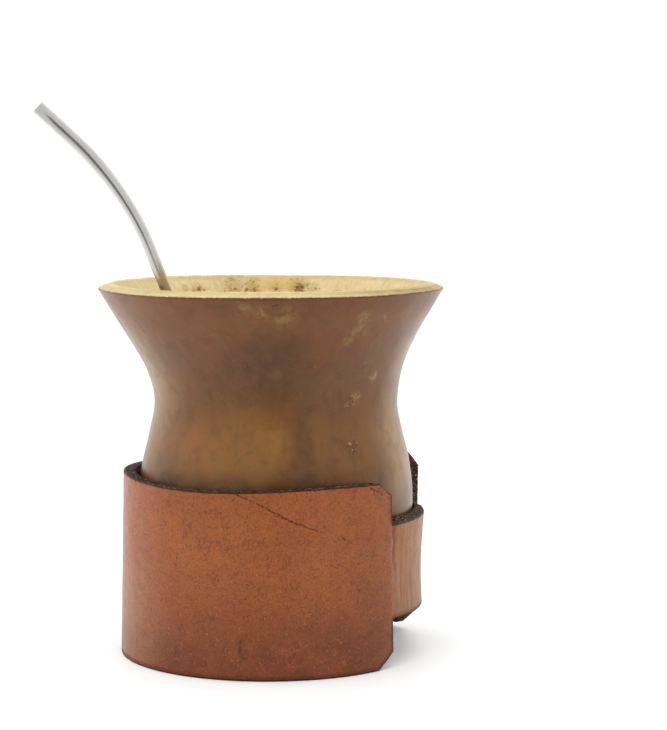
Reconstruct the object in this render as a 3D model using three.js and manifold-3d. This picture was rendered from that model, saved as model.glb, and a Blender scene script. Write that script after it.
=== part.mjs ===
// A gourd cup with a wide mouth, held upright by a bent strip of leather, with a thin metal straw.
// Millimetres, +Z up. The origin is the middle of the gourd's small flat foot.

import * as THREE from 'three';
import { mergeVertices } from 'three/addons/utils/BufferGeometryUtils.js';
import Module from 'manifold-3d';

const wasm = await Module();
wasm.setup();

// Gourd: heights and radii down the outside, over the cut lip and down the inside
const FOOT_RADIUS = 9;
const WAIST = { radius: 35.45, height: 73.5 };
const BELLY = { radius: 39.75, height: 43 };
const MOUTH = { radius: 50.2, height: 106.35 };
const LIP = { radius: 46.3, height: 107.95 };
const THROAT = { radius: 44.9, height: 106.75 };
const INNER_WAIST_RADIUS = 30.9;
const INNER_BELLY_RADIUS = 34.9;
const FLOOR_THICKNESS = 6.2;
const GOURD_SIDES = 60;

// How far the gourd's middle line wanders in +X, and how much its right flank swells
const BELLY_SHIFT = 1.0;
const WAIST_SHIFT = 1.25;
const MOUTH_SHIFT = -0.15;
const FLANK_SWELL = 0.55;

// Leather strip, bent to a ring. Angles in degrees round +Z from +X, heights along the flat strip.
const RING_RADIUS = 44.16;
const RING_HEIGHT = 53.1;
const LEATHER = 3.5;
const NECK_LEATHER = 3.0;
const RING_LEAN = 0.02;
const TOP_WAVE = 0.6;
const CHAMFER = { foot: 4.5, head: 3.5, length: 6 };
const NECK = { bottom: 13.8, top: 41.4, dish: 0.6, edge: 1.2 };
const TAIL_END = 25.2;
const TAIL_RADIUS = 48.6;
const TAIL_LIFT = 2.0;
const SLOT = { start: 40, end: 63.5, neckBottom: 16.5, neckTop: 40.5 };
const SHOULDER = 320.4;
const SHOULDER_SLANT = 0.07;
const HEAD = { start: 424.8, end: 442, rise: 4.0 };
const FULL_TURN = 360;

// Straw: a thin tube leaning on the lip, bent above it to a slightly wider mouth end, and
// flattened and pierced at its hidden foot. Stem and tip each point their own way.
const STRAW_RADIUS = 1.62;
const STRAW_WALL = 0.36;
const STEM_WAY = { azimuth: 228, tilt: 28.3 };
const TIP_WAY = { azimuth: 184, tilt: 47.05 };
const STRAW_AT_LIP = new THREE.Vector3(-29.3, -31.3, 108);
const BELOW_LIP = 111.8;
const ABOVE_LIP = 12.8;
const BEND_RADIUS = 66.4;
const TIP_LENGTH = 13;
const MOUTH_END = { radius: 1.8, full: 20, from: 36 };
const FILTER = { length: 18, taper: 9, halfWidth: 3.1, halfThickness: 1.25, hole: 0.55, pitch: 2.6 };
const STRAW_SIDES = 14;

const COLOURS = { gourd: 0x8a6038, leather: 0x96593a, steel: 0xb9b8b4 };

const mix = THREE.MathUtils.lerp;
const smooth = THREE.MathUtils.smoothstep;
const radians = THREE.MathUtils.degToRad;

// Closed geometry with shared corners and no flat triangles
function closedGeometry(geometry) {
  const bare = new THREE.BufferGeometry();
  bare.setAttribute('position', geometry.getAttribute('position'));
  bare.setIndex(geometry.index);
  const welded = mergeVertices(bare, 1e-4);
  const corners = welded.index.array;
  const kept = [];
  for (let k = 0; k < corners.length; k += 3) {
    const [a, b, c] = [corners[k], corners[k + 1], corners[k + 2]];
    if (a !== b && b !== c && c !== a) kept.push(a, b, c);
  }
  welded.setIndex(kept);
  welded.computeVertexNormals();
  return welded;
}

function geometryFrom(points, triangles) {
  const geometry = new THREE.BufferGeometry();
  const coordinates = points.flatMap((p) => [p.x, p.y, p.z]);
  geometry.setAttribute('position', new THREE.Float32BufferAttribute(coordinates, 3));
  geometry.setIndex(triangles);
  return geometry;
}

function namedMesh(name, geometry, colour, roughness, metalness) {
  const material = new THREE.MeshStandardMaterial({ color: colour, roughness, metalness });
  const mesh = new THREE.Mesh(geometry, material);
  mesh.name = name;
  return mesh;
}

// Gourd

function gourdProfile() {
  const outside = new THREE.SplineCurve([
    new THREE.Vector2(FOOT_RADIUS, 0),
    new THREE.Vector2(17, 2.6),
    new THREE.Vector2(27.5, 10),
    new THREE.Vector2(34.6, 20),
    new THREE.Vector2(38.4, 31),
    new THREE.Vector2(BELLY.radius, BELLY.height),
    new THREE.Vector2(39.25, 54.6),
    new THREE.Vector2(37.06, 64.1),
    new THREE.Vector2(WAIST.radius, WAIST.height),
    new THREE.Vector2(37.28, 83),
    new THREE.Vector2(41.8, 92.4),
    new THREE.Vector2(MOUTH.radius, MOUTH.height),
  ]);
  const lip = new THREE.SplineCurve([
    new THREE.Vector2(MOUTH.radius - 0.25, MOUTH.height + 0.35),
    new THREE.Vector2(MOUTH.radius - 2.2, MOUTH.height + 1.2),
    new THREE.Vector2(LIP.radius, LIP.height),
    new THREE.Vector2(THROAT.radius, THROAT.height),
  ]);
  const inside = new THREE.SplineCurve([
    new THREE.Vector2(THROAT.radius - 1.3, THROAT.height - 2.6),
    new THREE.Vector2(38.1, 94.5),
    new THREE.Vector2(32.6, 83),
    new THREE.Vector2(INNER_WAIST_RADIUS, WAIST.height),
    new THREE.Vector2(32.2, 64),
    new THREE.Vector2(34.3, 54),
    new THREE.Vector2(INNER_BELLY_RADIUS, BELLY.height),
    new THREE.Vector2(33.2, 30.5),
    new THREE.Vector2(28.6, 20),
    new THREE.Vector2(21.5, 12.4),
    new THREE.Vector2(12.5, 7.6),
    new THREE.Vector2(0, FLOOR_THICKNESS),
  ]);
  return [
    new THREE.Vector2(0, 0),
    ...outside.getPoints(24),
    ...lip.getPoints(5),
    ...inside.getPoints(20),
  ];
}

// Sideways wander of the gourd's middle line at a height
function middleShift(z) {
  const belly = BELLY_SHIFT * smooth(z, 0, 36);
  const waist = (WAIST_SHIFT - BELLY_SHIFT) * smooth(z, 46, 58);
  const mouth = (MOUTH_SHIFT - WAIST_SHIFT) * smooth(z, 74, 98);
  return belly + waist + mouth;
}

function gourdMesh() {
  const lathe = new THREE.LatheGeometry(gourdProfile(), GOURD_SIDES);
  lathe.rotateX(radians(90));
  const geometry = closedGeometry(lathe);
  const position = geometry.getAttribute('position');
  for (let k = 0; k < position.count; k += 1) {
    const [x, y, z] = [position.getX(k), position.getY(k), position.getZ(k)];
    const radius = Math.hypot(x, y);
    const facingRight = radius > 0 ? Math.max(0, x / radius) ** 4 : 0;
    const swell = FLANK_SWELL * facingRight * smooth(z, 10, 40) * (1 - smooth(z, 46, 56));
    position.setX(k, x + middleShift(z) + swell);
  }
  geometry.computeVertexNormals();
  return namedMesh('gourd', geometry, COLOURS.gourd, 0.42, 0);
}

// Leather strip

const LEVELS = [
  0, CHAMFER.foot, NECK.bottom, 23, 32, NECK.top, RING_HEIGHT - CHAMFER.head, RING_HEIGHT,
];
const NECK_FROM = 2;
const NECK_TO = 5;
const TOP = LEVELS.length - 1;

// Even steps from one angle to the next, the last angle left out
function steps(from, to, count) {
  return Array.from({ length: count }, (_, k) => mix(from, to, k / count));
}

const chamferTurn = (CHAMFER.length / RING_RADIUS) * THREE.MathUtils.RAD2DEG;
const STATIONS = [
  TAIL_END,
  ...steps(TAIL_END + chamferTurn, SLOT.start, 2),
  ...steps(SLOT.start, SLOT.end, 6),
  ...steps(SLOT.end, SHOULDER - chamferTurn, 50),
  SHOULDER - chamferTurn,
  ...steps(SHOULDER, SLOT.start + FULL_TURN, 18),
  ...steps(SLOT.start + FULL_TURN, HEAD.start, 7),
  ...steps(HEAD.start, HEAD.end - chamferTurn, 2),
  HEAD.end - chamferTurn,
  HEAD.end,
];

// How much of the neck's own form applies at an angle along the strip
const neckShare = (angle) => smooth(angle, SHOULDER - 2, SHOULDER + 6);

// Outer radius of the strip: a tail outside, the ring, the neck through the slot, the head outside
function outerRadius(angle, height) {
  if (angle < FULL_TURN / 2) {
    return mix(TAIL_RADIUS, RING_RADIUS, smooth(angle, 36, 68));
  }
  const across = THREE.MathUtils.clamp((height - NECK.bottom) / (NECK.top - NECK.bottom), 0, 1);
  const past = smooth(angle, FULL_TURN + 8, FULL_TURN + 28);
  const dish = NECK.dish * Math.sin(Math.PI * across) * neckShare(angle) * (1 - past);
  return RING_RADIUS - dish + HEAD.rise * smooth(angle, FULL_TURN + 34, FULL_TURN + 66);
}

function levelHeight(angle, level) {
  const height = LEVELS[level];
  const narrowing = smooth(angle, FULL_TURN, SLOT.start + FULL_TURN - 4);
  if (level === NECK_FROM) return mix(height, SLOT.neckBottom, narrowing);
  if (level === NECK_TO) return mix(height, SLOT.neckTop, narrowing);
  if (level < TOP - 1) return height;
  return height + TOP_WAVE * Math.cos(radians(3 * (angle + 61)));
}

// A point of the strip: station and level on the flat strip, on its outer or inner side
function leatherPoint(station, level, isInner) {
  const height = levelHeight(STATIONS[station], level);
  const nearShoulder = 1 - smooth(Math.abs(STATIONS[station] - SHOULDER), 2, 14);
  const slant = SHOULDER_SLANT * (RING_HEIGHT / 2 - height) * nearShoulder;
  const angle = STATIONS[station] + slant;
  const neck = neckShare(STATIONS[station]);
  const thickness = isInner ? mix(LEATHER, NECK_LEATHER, neck) : 0;
  const radius = outerRadius(STATIONS[station], height) - thickness;
  const lift = TAIL_LIFT * (1 - smooth(angle, SLOT.start, 110));
  const edge = isInner && level === NECK_TO ? NECK.edge * neck : 0;
  const z = height + lift + edge;
  const x = radius * Math.cos(radians(angle)) + RING_LEAN * (z - 17);
  return new THREE.Vector3(x, radius * Math.sin(radians(angle)), z);
}

// Corners of each cell of the flat strip, anticlockwise from outside; chamfered cells are triangles
function leatherCells() {
  const cells = [];
  const slotStart = STATIONS.indexOf(SLOT.start);
  const slotEnd = STATIONS.indexOf(SLOT.end);
  const shoulder = STATIONS.indexOf(SHOULDER);
  const head = STATIONS.indexOf(HEAD.start);
  const last = STATIONS.length - 2;
  for (let s = 0; s <= last; s += 1) {
    const isNeck = s >= shoulder && s < head;
    const isHead = s >= head;
    const isSlot = s >= slotStart && s < slotEnd;
    const low = isNeck ? NECK_FROM : Number(isHead);
    const high = isNeck ? NECK_TO : TOP - Number(isHead);
    for (let level = low; level < high; level += 1) {
      if (isSlot && level >= NECK_FROM && level < NECK_TO) continue;
      const corners = [[s, level], [s + 1, level], [s + 1, level + 1], [s, level + 1]];
      const isEnd = s === shoulder - 1 || s === last;
      if (isEnd && level === low) corners.splice(1, 1);
      else if (isEnd && level === high - 1) corners.splice(2, 1);
      else if (s === 0 && level === low) corners.splice(0, 1);
      else if (s === 0 && level === high - 1) corners.splice(3, 1);
      cells.push(corners);
    }
  }
  return cells;
}

// Gives a sheet of cells its thickness: two faces, and a wall on each edge that only one cell has
function thickened(cells, pointAt) {
  const points = [];
  const numbers = new Map();
  const numberOf = ([station, level]) => {
    const key = `${station},${level}`;
    if (!numbers.has(key)) {
      numbers.set(key, points.length);
      points.push(pointAt(station, level, false), pointAt(station, level, true));
    }
    return numbers.get(key);
  };
  const edges = new Map();
  const triangles = [];
  for (const cell of cells) {
    const outer = cell.map(numberOf);
    for (let k = 1; k < outer.length - 1; k += 1) {
      triangles.push(outer[0], outer[k], outer[k + 1]);
      triangles.push(outer[0] + 1, outer[k + 1] + 1, outer[k] + 1);
    }
    outer.forEach((from, k) => {
      const to = outer[(k + 1) % outer.length];
      edges.set(`${from}>${to}`, [from, to]);
    });
  }
  for (const [from, to] of edges.values()) {
    if (edges.has(`${to}>${from}`)) continue;
    triangles.push(to, from, from + 1, to, from + 1, to + 1);
  }
  return geometryFrom(points, triangles);
}

function leatherMesh() {
  const geometry = closedGeometry(thickened(leatherCells(), leatherPoint));
  return namedMesh('leather_ring', geometry, COLOURS.leather, 0.62, 0);
}

// Straw

function pointing({ azimuth, tilt }) {
  const level = Math.sin(radians(tilt));
  return new THREE.Vector3(
    level * Math.cos(radians(azimuth)), level * Math.sin(radians(azimuth)), Math.cos(radians(tilt)),
  );
}

const STEM = pointing(STEM_WAY);
const TIP = pointing(TIP_WAY);
const FLAT_SIDE = new THREE.Vector3(0, 0, 1).cross(STEM).normalize();
const FLAT_FACE = STEM.clone().cross(FLAT_SIDE);
const BEND_AXIS = STEM.clone().cross(TIP).normalize();
const BEND_INWARD = BEND_AXIS.clone().cross(STEM);
const BEND_TURN = STEM.angleTo(TIP);
const STRAW_LENGTH = BELOW_LIP + ABOVE_LIP + BEND_RADIUS * BEND_TURN + TIP_LENGTH;

// Middle line of the straw at a length from its foot: straight, an arc, straight again
function strawStation(length) {
  const straight = BELOW_LIP + ABOVE_LIP;
  const turn = THREE.MathUtils.clamp((length - straight) / BEND_RADIUS, 0, BEND_TURN);
  const before = Math.min(length, straight) - BELOW_LIP;
  const after = Math.max(0, length - straight - BEND_RADIUS * BEND_TURN);
  const turned = (way) => way.clone().applyAxisAngle(BEND_AXIS, turn);
  const centre = STRAW_AT_LIP.clone()
    .addScaledVector(STEM, before + BEND_RADIUS * Math.sin(turn))
    .addScaledVector(BEND_INWARD, BEND_RADIUS * (1 - Math.cos(turn)))
    .addScaledVector(turned(STEM), after);
  return { centre, side: turned(FLAT_SIDE), across: turned(FLAT_FACE) };
}

// Half sizes of the tube's section: round above, flat at the foot, with a rounded end
function strawSection(length, wall) {
  const flat = 1 - smooth(length, FILTER.length - FILTER.taper, FILTER.length);
  const flared = smooth(length, STRAW_LENGTH - MOUTH_END.from, STRAW_LENGTH - MOUTH_END.full);
  const round = mix(STRAW_RADIUS, MOUTH_END.radius, flared);
  const reach = THREE.MathUtils.clamp((length - wall) / FILTER.halfWidth, 0, 1);
  const end = Math.sqrt(1 - (1 - reach) ** 2);
  return {
    wide: mix(round, FILTER.halfWidth, flat) * end - wall,
    thin: mix(round, FILTER.halfThickness, flat) * Math.sqrt(end) - wall,
  };
}

function strawRing(length, wall) {
  const { centre, side, across } = strawStation(length);
  const { wide, thin } = strawSection(length, wall);
  return Array.from({ length: STRAW_SIDES }, (_, k) => {
    const turn = (2 * Math.PI * k) / STRAW_SIDES;
    return centre.clone()
      .addScaledVector(side, wide * Math.cos(turn))
      .addScaledVector(across, thin * Math.sin(turn));
  });
}

// One skin through a row of rings, closed by a point before the first and after the last
function skinned(first, rings, last) {
  const points = [first, ...rings.flat(), last];
  const count = STRAW_SIDES;
  const triangles = [];
  for (let k = 0; k < count; k += 1) {
    const next = (k + 1) % count;
    triangles.push(0, 1 + next, 1 + k);
    for (let ring = 0; ring < rings.length - 1; ring += 1) {
      const low = 1 + ring * count;
      const high = low + count;
      triangles.push(low + k, low + next, high + next, low + k, high + next, high + k);
    }
    const top = 1 + (rings.length - 1) * count;
    triangles.push(top + k, top + next, points.length - 1);
  }
  return geometryFrom(points, triangles);
}

function asManifold(geometry) {
  return new wasm.Manifold(new wasm.Mesh({
    numProp: 3,
    vertProperties: new Float32Array(geometry.getAttribute('position').array),
    triVerts: new Uint32Array(geometry.index.array),
  }));
}

function fromManifold(solid) {
  const mesh = solid.getMesh();
  const geometry = new THREE.BufferGeometry();
  geometry.setAttribute('position', new THREE.Float32BufferAttribute(mesh.vertProperties, 3));
  geometry.setIndex(Array.from(mesh.triVerts));
  return geometry;
}

// Pins that pierce the flat foot, one behind the other
function filterPins() {
  const { across } = strawStation(0);
  const upright = new THREE.Vector3(0, 1, 0);
  return [1, 2, 3, 4].map((row) => {
    const pin = new THREE.CylinderGeometry(FILTER.hole, FILTER.hole, 6 * FILTER.halfThickness, 8);
    pin.applyQuaternion(new THREE.Quaternion().setFromUnitVectors(upright, across));
    const { centre } = strawStation(row * FILTER.pitch);
    pin.translate(centre.x, centre.y, centre.z);
    return closedGeometry(pin);
  });
}

function strawMesh() {
  const straight = BELOW_LIP + ABOVE_LIP;
  const footEnd = [0.25, 0.9, 2, 3.2, 6, 9];
  const taper = [11, 13, 15.5, 18];
  const stem = [45, 80, straight];
  const bend = steps(straight, STRAW_LENGTH - TIP_LENGTH, 14).slice(1);
  const lengths = [...footEnd, ...taper, ...stem, ...bend, STRAW_LENGTH - TIP_LENGTH, STRAW_LENGTH];
  const outer = lengths.map((length) => strawRing(length, 0));
  const inner = lengths.filter((length) => length > 0.5).map((length) => strawRing(length, STRAW_WALL));
  const footPoint = strawStation(0).centre;
  const innerFoot = strawStation(STRAW_WALL + 0.05).centre;
  const tube = closedGeometry(skinned(footPoint, [...outer, ...inner.reverse()], innerFoot));
  let solid = asManifold(tube);
  for (const pin of filterPins()) solid = solid.subtract(asManifold(pin));
  return namedMesh('straw', closedGeometry(fromManifold(solid)), COLOURS.steel, 0.3, 1);
}

const mateGourd = new THREE.Group();
mateGourd.add(gourdMesh(), leatherMesh(), strawMesh());

export default mateGourd;
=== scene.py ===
# %% [markdown]
# # A gourd cup in a leather ring, with a metal straw
# The cup is a dried calabash, cut open at its wide mouth. A strip of thick leather is bent to a
# ring and closed on itself, and the round-bottomed gourd stands in it. A thin metal tube leans on
# the lip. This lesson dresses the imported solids: each piece is modelled again with fine relief, in
# metres and in the same frame, and gets a material made of nodes.

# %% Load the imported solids
import math

import bpy
import numpy as np
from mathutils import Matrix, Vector, noise
from mathutils.kdtree import KDTree


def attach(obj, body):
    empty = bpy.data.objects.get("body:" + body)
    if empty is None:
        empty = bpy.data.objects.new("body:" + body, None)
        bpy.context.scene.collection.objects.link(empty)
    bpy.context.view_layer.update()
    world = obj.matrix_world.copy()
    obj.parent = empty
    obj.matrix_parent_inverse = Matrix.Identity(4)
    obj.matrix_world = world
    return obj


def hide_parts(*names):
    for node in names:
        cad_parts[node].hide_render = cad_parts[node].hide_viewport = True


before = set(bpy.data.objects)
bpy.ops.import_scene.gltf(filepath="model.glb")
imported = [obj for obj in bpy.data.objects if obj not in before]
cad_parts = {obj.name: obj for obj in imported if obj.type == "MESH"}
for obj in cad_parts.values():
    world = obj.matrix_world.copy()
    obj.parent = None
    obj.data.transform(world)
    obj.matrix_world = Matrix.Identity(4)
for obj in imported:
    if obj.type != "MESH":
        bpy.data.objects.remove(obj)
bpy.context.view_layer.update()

print("solids:", sorted(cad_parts))

# %% [markdown]
# ## Camera
# The photograph was taken from a little above the mouth, with a long lens. Eye height, distance and
# focal length were fitted to the round outlines of the mouth and of the leather, so the camera
# stands where the real one stood. It comes first, and nothing later depends on it.

# %% Camera
MM = 0.001
IMAGE_HEIGHT = 730
FOCAL_PIXELS = 2203.3
SENSOR = 36.0
EYE = (0.0, -0.64198, 0.14279)
LOOK_DOWN = math.radians(5.248)
LOOK_RIGHT = math.radians(1.61)

camera_data = bpy.data.cameras.new("camera")
camera_data.sensor_width = SENSOR
camera_data.lens = SENSOR * FOCAL_PIXELS / IMAGE_HEIGHT
camera_data.clip_start = 0.01
camera = bpy.data.objects.new("camera", camera_data)
camera.location = EYE
camera.rotation_euler = (math.pi / 2 - LOOK_DOWN, 0.0, -LOOK_RIGHT)
bpy.context.collection.objects.link(camera)
bpy.context.scene.camera = camera
print("lens in mm:", round(camera_data.lens, 1))

# %% [markdown]
# ## Small tools
# Every form here is worked out in millimetres with a few formulas, and turned into a mesh at the
# end. These helpers draw a smooth curve through a few points, ease from 0 to 1, give soft noise
# at many points at once, make a mesh from rows of points, and add nodes to a tree.

# %% Curves, easing and noise
def smooth(value, low, high):
    """Ease from 0 at low to 1 at high."""
    share = np.clip((np.asarray(value, float) - low) / (high - low), 0.0, 1.0)
    return share * share * (3.0 - 2.0 * share)


def mix(first, second, share):
    return first + (second - first) * share


def curve_through(points, place):
    """Catmull-Rom curve through points of (radius, height), at places counted in points."""
    points = np.asarray(points, float)
    last = len(points) - 1
    index = np.minimum(place.astype(int), last - 1)
    share = (place - index)[:, None]
    before = points[np.maximum(index - 1, 0)]
    start, end = points[index], points[index + 1]
    after = points[np.minimum(index + 2, last)]
    slope_in, slope_out = (end - before) / 2, (after - start) / 2
    return (
        (2 * start - 2 * end + slope_in + slope_out) * share**3
        + (-3 * start + 3 * end - 2 * slope_in - slope_out) * share**2
        + slope_in * share + start
    )


def soft_noise(points, size, octaves=3):
    """Noise of about -1 to 1 at points in millimetres, with lumps of the given size."""
    scale = np.asarray(points, float).reshape(-1, 3) / size
    values = [noise.fractal(Vector(p), 0.8, 2.0, octaves) for p in scale]
    return np.array(values).reshape(np.shape(points)[:-1])


# %% Meshes from rows of points
def mesh_piece(name, points, faces):
    """A new object with its place in its mesh, from points in millimetres."""
    mesh = bpy.data.meshes.new(name)
    mesh.from_pydata((np.asarray(points) * MM).tolist(), [], faces)
    mesh.polygons.foreach_set("use_smooth", [True] * len(mesh.polygons))
    mesh.update()
    piece = bpy.data.objects.new(name, mesh)
    bpy.context.collection.objects.link(piece)
    return piece


def ring_faces(rings, sides, first):
    """Quads between rows of rings, each of so many sides, numbered from first."""
    low = first + np.arange(rings - 1)[:, None] * sides
    here = np.arange(sides)[None, :]
    right = (here + 1) % sides
    corners = np.stack([low + here, low + right, low + sides + right, low + sides + here], -1)
    return corners.reshape(-1, 4).tolist()


def fan_faces(tip, ring_start, sides, outward):
    """Triangles from a point to a ring."""
    pairs = [(ring_start + k, ring_start + (k + 1) % sides) for k in range(sides)]
    return [(tip, b, a) if outward else (tip, a, b) for a, b in pairs]


def store(piece, name, values):
    """Keep one number per point of the mesh, for the materials to read."""
    attribute = piece.data.attributes.new(name, "FLOAT", "POINT")
    attribute.data.foreach_set("value", np.asarray(values, np.float32).ravel())


# %% Nodes, and groups of them with named inputs
def feed(tree, socket, value):
    """Link a socket to another node's output, or set it to a fixed value."""
    if isinstance(value, bpy.types.NodeSocket):
        tree.links.new(value, socket)
    else:
        socket.default_value = value


def add(tree, kind, inputs=(), **settings):
    """Add a node, set its properties, and fill or link its inputs."""
    node = tree.nodes.new(kind)
    for key, value in settings.items():
        setattr(node, key, value)
    for key, value in dict(inputs).items():
        feed(tree, node.inputs[key], value)
    return node


def number_node(tree, operation, *values):
    return add(tree, "ShaderNodeMath", enumerate(values), operation=operation).outputs[0]


def scaled(tree, value, amount):
    return number_node(tree, "MULTIPLY", value, amount)


def new_group(kind, name, inputs, output):
    """An empty node group: its tree, the sockets it is given, and the socket of its result."""
    tree = bpy.data.node_groups.new(name, kind)
    for label, socket in inputs.items():
        tree.interface.new_socket(label, in_out="INPUT", socket_type="NodeSocket" + socket)
    label, socket = output
    tree.interface.new_socket(label, in_out="OUTPUT", socket_type="NodeSocket" + socket)
    given, result = add(tree, "NodeGroupInput"), add(tree, "NodeGroupOutput")
    return tree, given.outputs, result.inputs[0]


# %% [markdown]
# ## The gourd
# A gourd is nearly a body of revolution, but grown and not turned. A Spin of its profile would be
# too perfect, so the rings are made in code: the profile is one curve down the outside, over the
# cut lip and down the inside, its middle line wanders a little, and soft noise along the normal
# gives the skin its slow dents, the lip its saw marks and the inner wall its rough pith.

# %% Profile of the gourd, as radius and height in millimetres
FOOT_RADIUS = 9.0
MOUTH = (50.2, 106.35)
LIP = (46.3, 107.95)
THROAT = (44.9, 106.75)
OUTSIDE = [
    (FOOT_RADIUS, 0), (17, 2.6), (27.5, 10), (34.6, 20), (38.4, 31), (39.75, 43),
    (39.25, 54.6), (37.06, 64.1), (35.45, 73.5), (37.28, 83), (41.8, 92.4), MOUTH,
]
CUT_LIP = [
    (MOUTH[0] - 0.25, MOUTH[1] + 0.35), (MOUTH[0] - 2.2, MOUTH[1] + 1.2), LIP, THROAT,
]
INSIDE = [
    (THROAT[0] - 1.3, THROAT[1] - 2.6), (38.1, 94.5), (32.6, 83), (30.9, 73.5), (32.2, 64),
    (34.3, 54), (34.9, 43), (33.2, 30.5), (28.6, 20), (21.5, 12.4), (12.5, 7.6), (0.6, 6.2),
]
GOURD_SIDES = 288


def places(*stretches):
    """Places from 0 on: each stretch gives where it ends and its number of steps."""
    start, rows = 0.0, [0.0]
    for stop, steps in stretches:
        rows += list(np.linspace(start, stop, steps + 1)[1:])
        start = stop
    return np.array(rows)


outer_rows = curve_through(OUTSIDE, places((10.6, 146), (11.0, 16)))
lip_rows = curve_through(CUT_LIP, places((3.0, 36)))
inner_rows = curve_through(INSIDE, places((1.0, 40), (11.0, 100)))
profile = np.vstack([outer_rows, lip_rows, inner_rows])
ring_part = np.repeat([0, 1, 2], [len(outer_rows), len(lip_rows), len(inner_rows)])
print("rings of the gourd:", len(profile))


# %% Middle line and swelling, as in the solid
def middle_shift(height):
    belly = 1.0 * smooth(height, 0, 36)
    waist = 0.25 * smooth(height, 46, 58)
    mouth = -1.4 * smooth(height, 74, 98)
    return belly + waist + mouth


def flank_swell(angle, height):
    facing_right = np.maximum(0.0, np.cos(angle)) ** 4
    return 0.55 * facing_right * smooth(height, 10, 40) * (1 - smooth(height, 46, 56))


# %% Points of the gourd, with its relief
SLOW_SIZE, GRAIN_SIZE, FINE_SIZE = 26.0, 3.2, 1.1
SKIN_SLOW, SKIN_GRAIN = 0.16, 0.012
LIP_GRAIN, LIP_FINE = 0.10, 0.05
PITH_GRAIN, PITH_FINE, PITH_SUNK = 0.42, 0.12, 0.2
MOUTH_CALM, MOUTH_SUNK = 0.7, 0.03
LIP_HEIGHTS, FOOT_FADE = (105.7, 107.2), (1.0, 12.0)


def profile_normals(rows):
    along = np.gradient(rows, axis=0)
    normal = np.stack([along[:, 1], -along[:, 0]], -1)
    return normal / np.linalg.norm(normal, axis=1, keepdims=True)


def gourd_points():
    turn = np.arange(GOURD_SIDES) * 2 * math.pi / GOURD_SIDES
    radius = np.repeat(profile[:, :1], GOURD_SIDES, 1)
    height = np.repeat(profile[:, 1:], GOURD_SIDES, 1)
    normal = profile_normals(profile)
    around = np.stack([radius * np.cos(turn), radius * np.sin(turn), height], -1)
    on_skin = (ring_part == 0)[:, None]
    on_lip = smooth(height, *LIP_HEIGHTS) * (ring_part >= 1)[:, None]
    on_pith = (ring_part == 2)[:, None] * (1 - on_lip)
    slow = soft_noise(around, SLOW_SIZE, 2)
    grain = soft_noise(around, GRAIN_SIZE, 4)
    fine = soft_noise(around, FINE_SIZE, 2)
    relief = on_skin * smooth(height, *FOOT_FADE) * (SKIN_SLOW * slow + SKIN_GRAIN * grain)
    relief = relief + on_lip * (LIP_GRAIN * grain + LIP_FINE * fine)
    relief = relief + on_pith * (PITH_GRAIN * grain + PITH_FINE * fine - PITH_SUNK)
    near_mouth = smooth(height, 92, MOUTH[1]) * on_skin
    relief = relief * (1 - MOUTH_CALM * near_mouth) - MOUTH_SUNK * near_mouth
    radius = radius + relief * normal[:, :1]
    height = height + relief * normal[:, 1:]
    wave = 0.16 * np.cos(2 * turn + 0.7) + 0.08 * np.cos(5 * turn + 2.0)
    height = height + wave[None, :] * smooth(height, 100, 107)
    shift = middle_shift(height) + flank_swell(turn[None, :], height)
    return np.stack([radius * np.cos(turn) + shift, radius * np.sin(turn), height], -1)


points = gourd_points()
ring_count = len(profile)
foot_tip, floor_tip = ring_count * GOURD_SIDES, ring_count * GOURD_SIDES + 1
faces = ring_faces(ring_count, GOURD_SIDES, 0)
faces += fan_faces(foot_tip, 0, GOURD_SIDES, True)
faces += fan_faces(floor_tip, (ring_count - 1) * GOURD_SIDES, GOURD_SIDES, False)
tips = [[0.0, 0.0, 0.0], points[-1].mean(axis=0)]
gourd = mesh_piece("gourd_cup", np.vstack([points.reshape(-1, 3), tips]), faces)
pith_share = np.repeat((ring_part >= 1).astype(float), GOURD_SIDES)
store(gourd, "cut", np.append(pith_share, [0.0, 1.0]))
RIM_LINE = 0.42
from_mouth = np.linalg.norm(profile - np.array(MOUTH), axis=1)
rim_share = np.repeat(np.exp(-((from_mouth / RIM_LINE) ** 2)), GOURD_SIDES)
store(gourd, "rim", np.append(rim_share, [0.0, 0.0]))
print("gourd faces:", len(gourd.data.polygons))

# %% [markdown]
# ## The leather
# The real ring is cut flat from one hide: a full-height strip with a narrower neck at one end that
# widens again to a head, and a slot near the other end. It is then bent round. The mesh is made the
# same way. A flat pattern of small cells is laid out by angle and height, thickened with rounded
# cut edges, and every point is then bent to its place.

# %% Sizes of the flat pattern
RING_RADIUS, RING_HEIGHT = 44.16, 53.1
LEATHER, NECK_LEATHER = 3.5, 3.0
CHAMFER_FOOT, CHAMFER_HEAD, CHAMFER_LENGTH = 4.5, 3.5, 6.0
NECK_BOTTOM, NECK_TOP, NECK_DISH, NECK_EDGE = 13.8, 41.4, 0.6, 1.2
TAIL_END, TAIL_RADIUS, TAIL_LIFT = 25.2, 48.6, 2.0
SLOT_START, SLOT_END, SLOT_NECK_BOTTOM, SLOT_NECK_TOP = 40.0, 63.5, 16.5, 40.5
SHOULDER, SHOULDER_SLANT = 320.4, 0.07
HEAD_START, HEAD_END, HEAD_RISE = 424.8, 442.0, 4.0
RING_LEAN, TOP_WAVE = 0.02, 0.6
CHAMFER_TURN = math.degrees(CHAMFER_LENGTH / RING_RADIUS)
TAIL_SETTLES, NECK_FLATTENS, HEAD_LIFTS, PULL_FADES = (36, 68), (368, 388), (394, 426), (382, 400)

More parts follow.
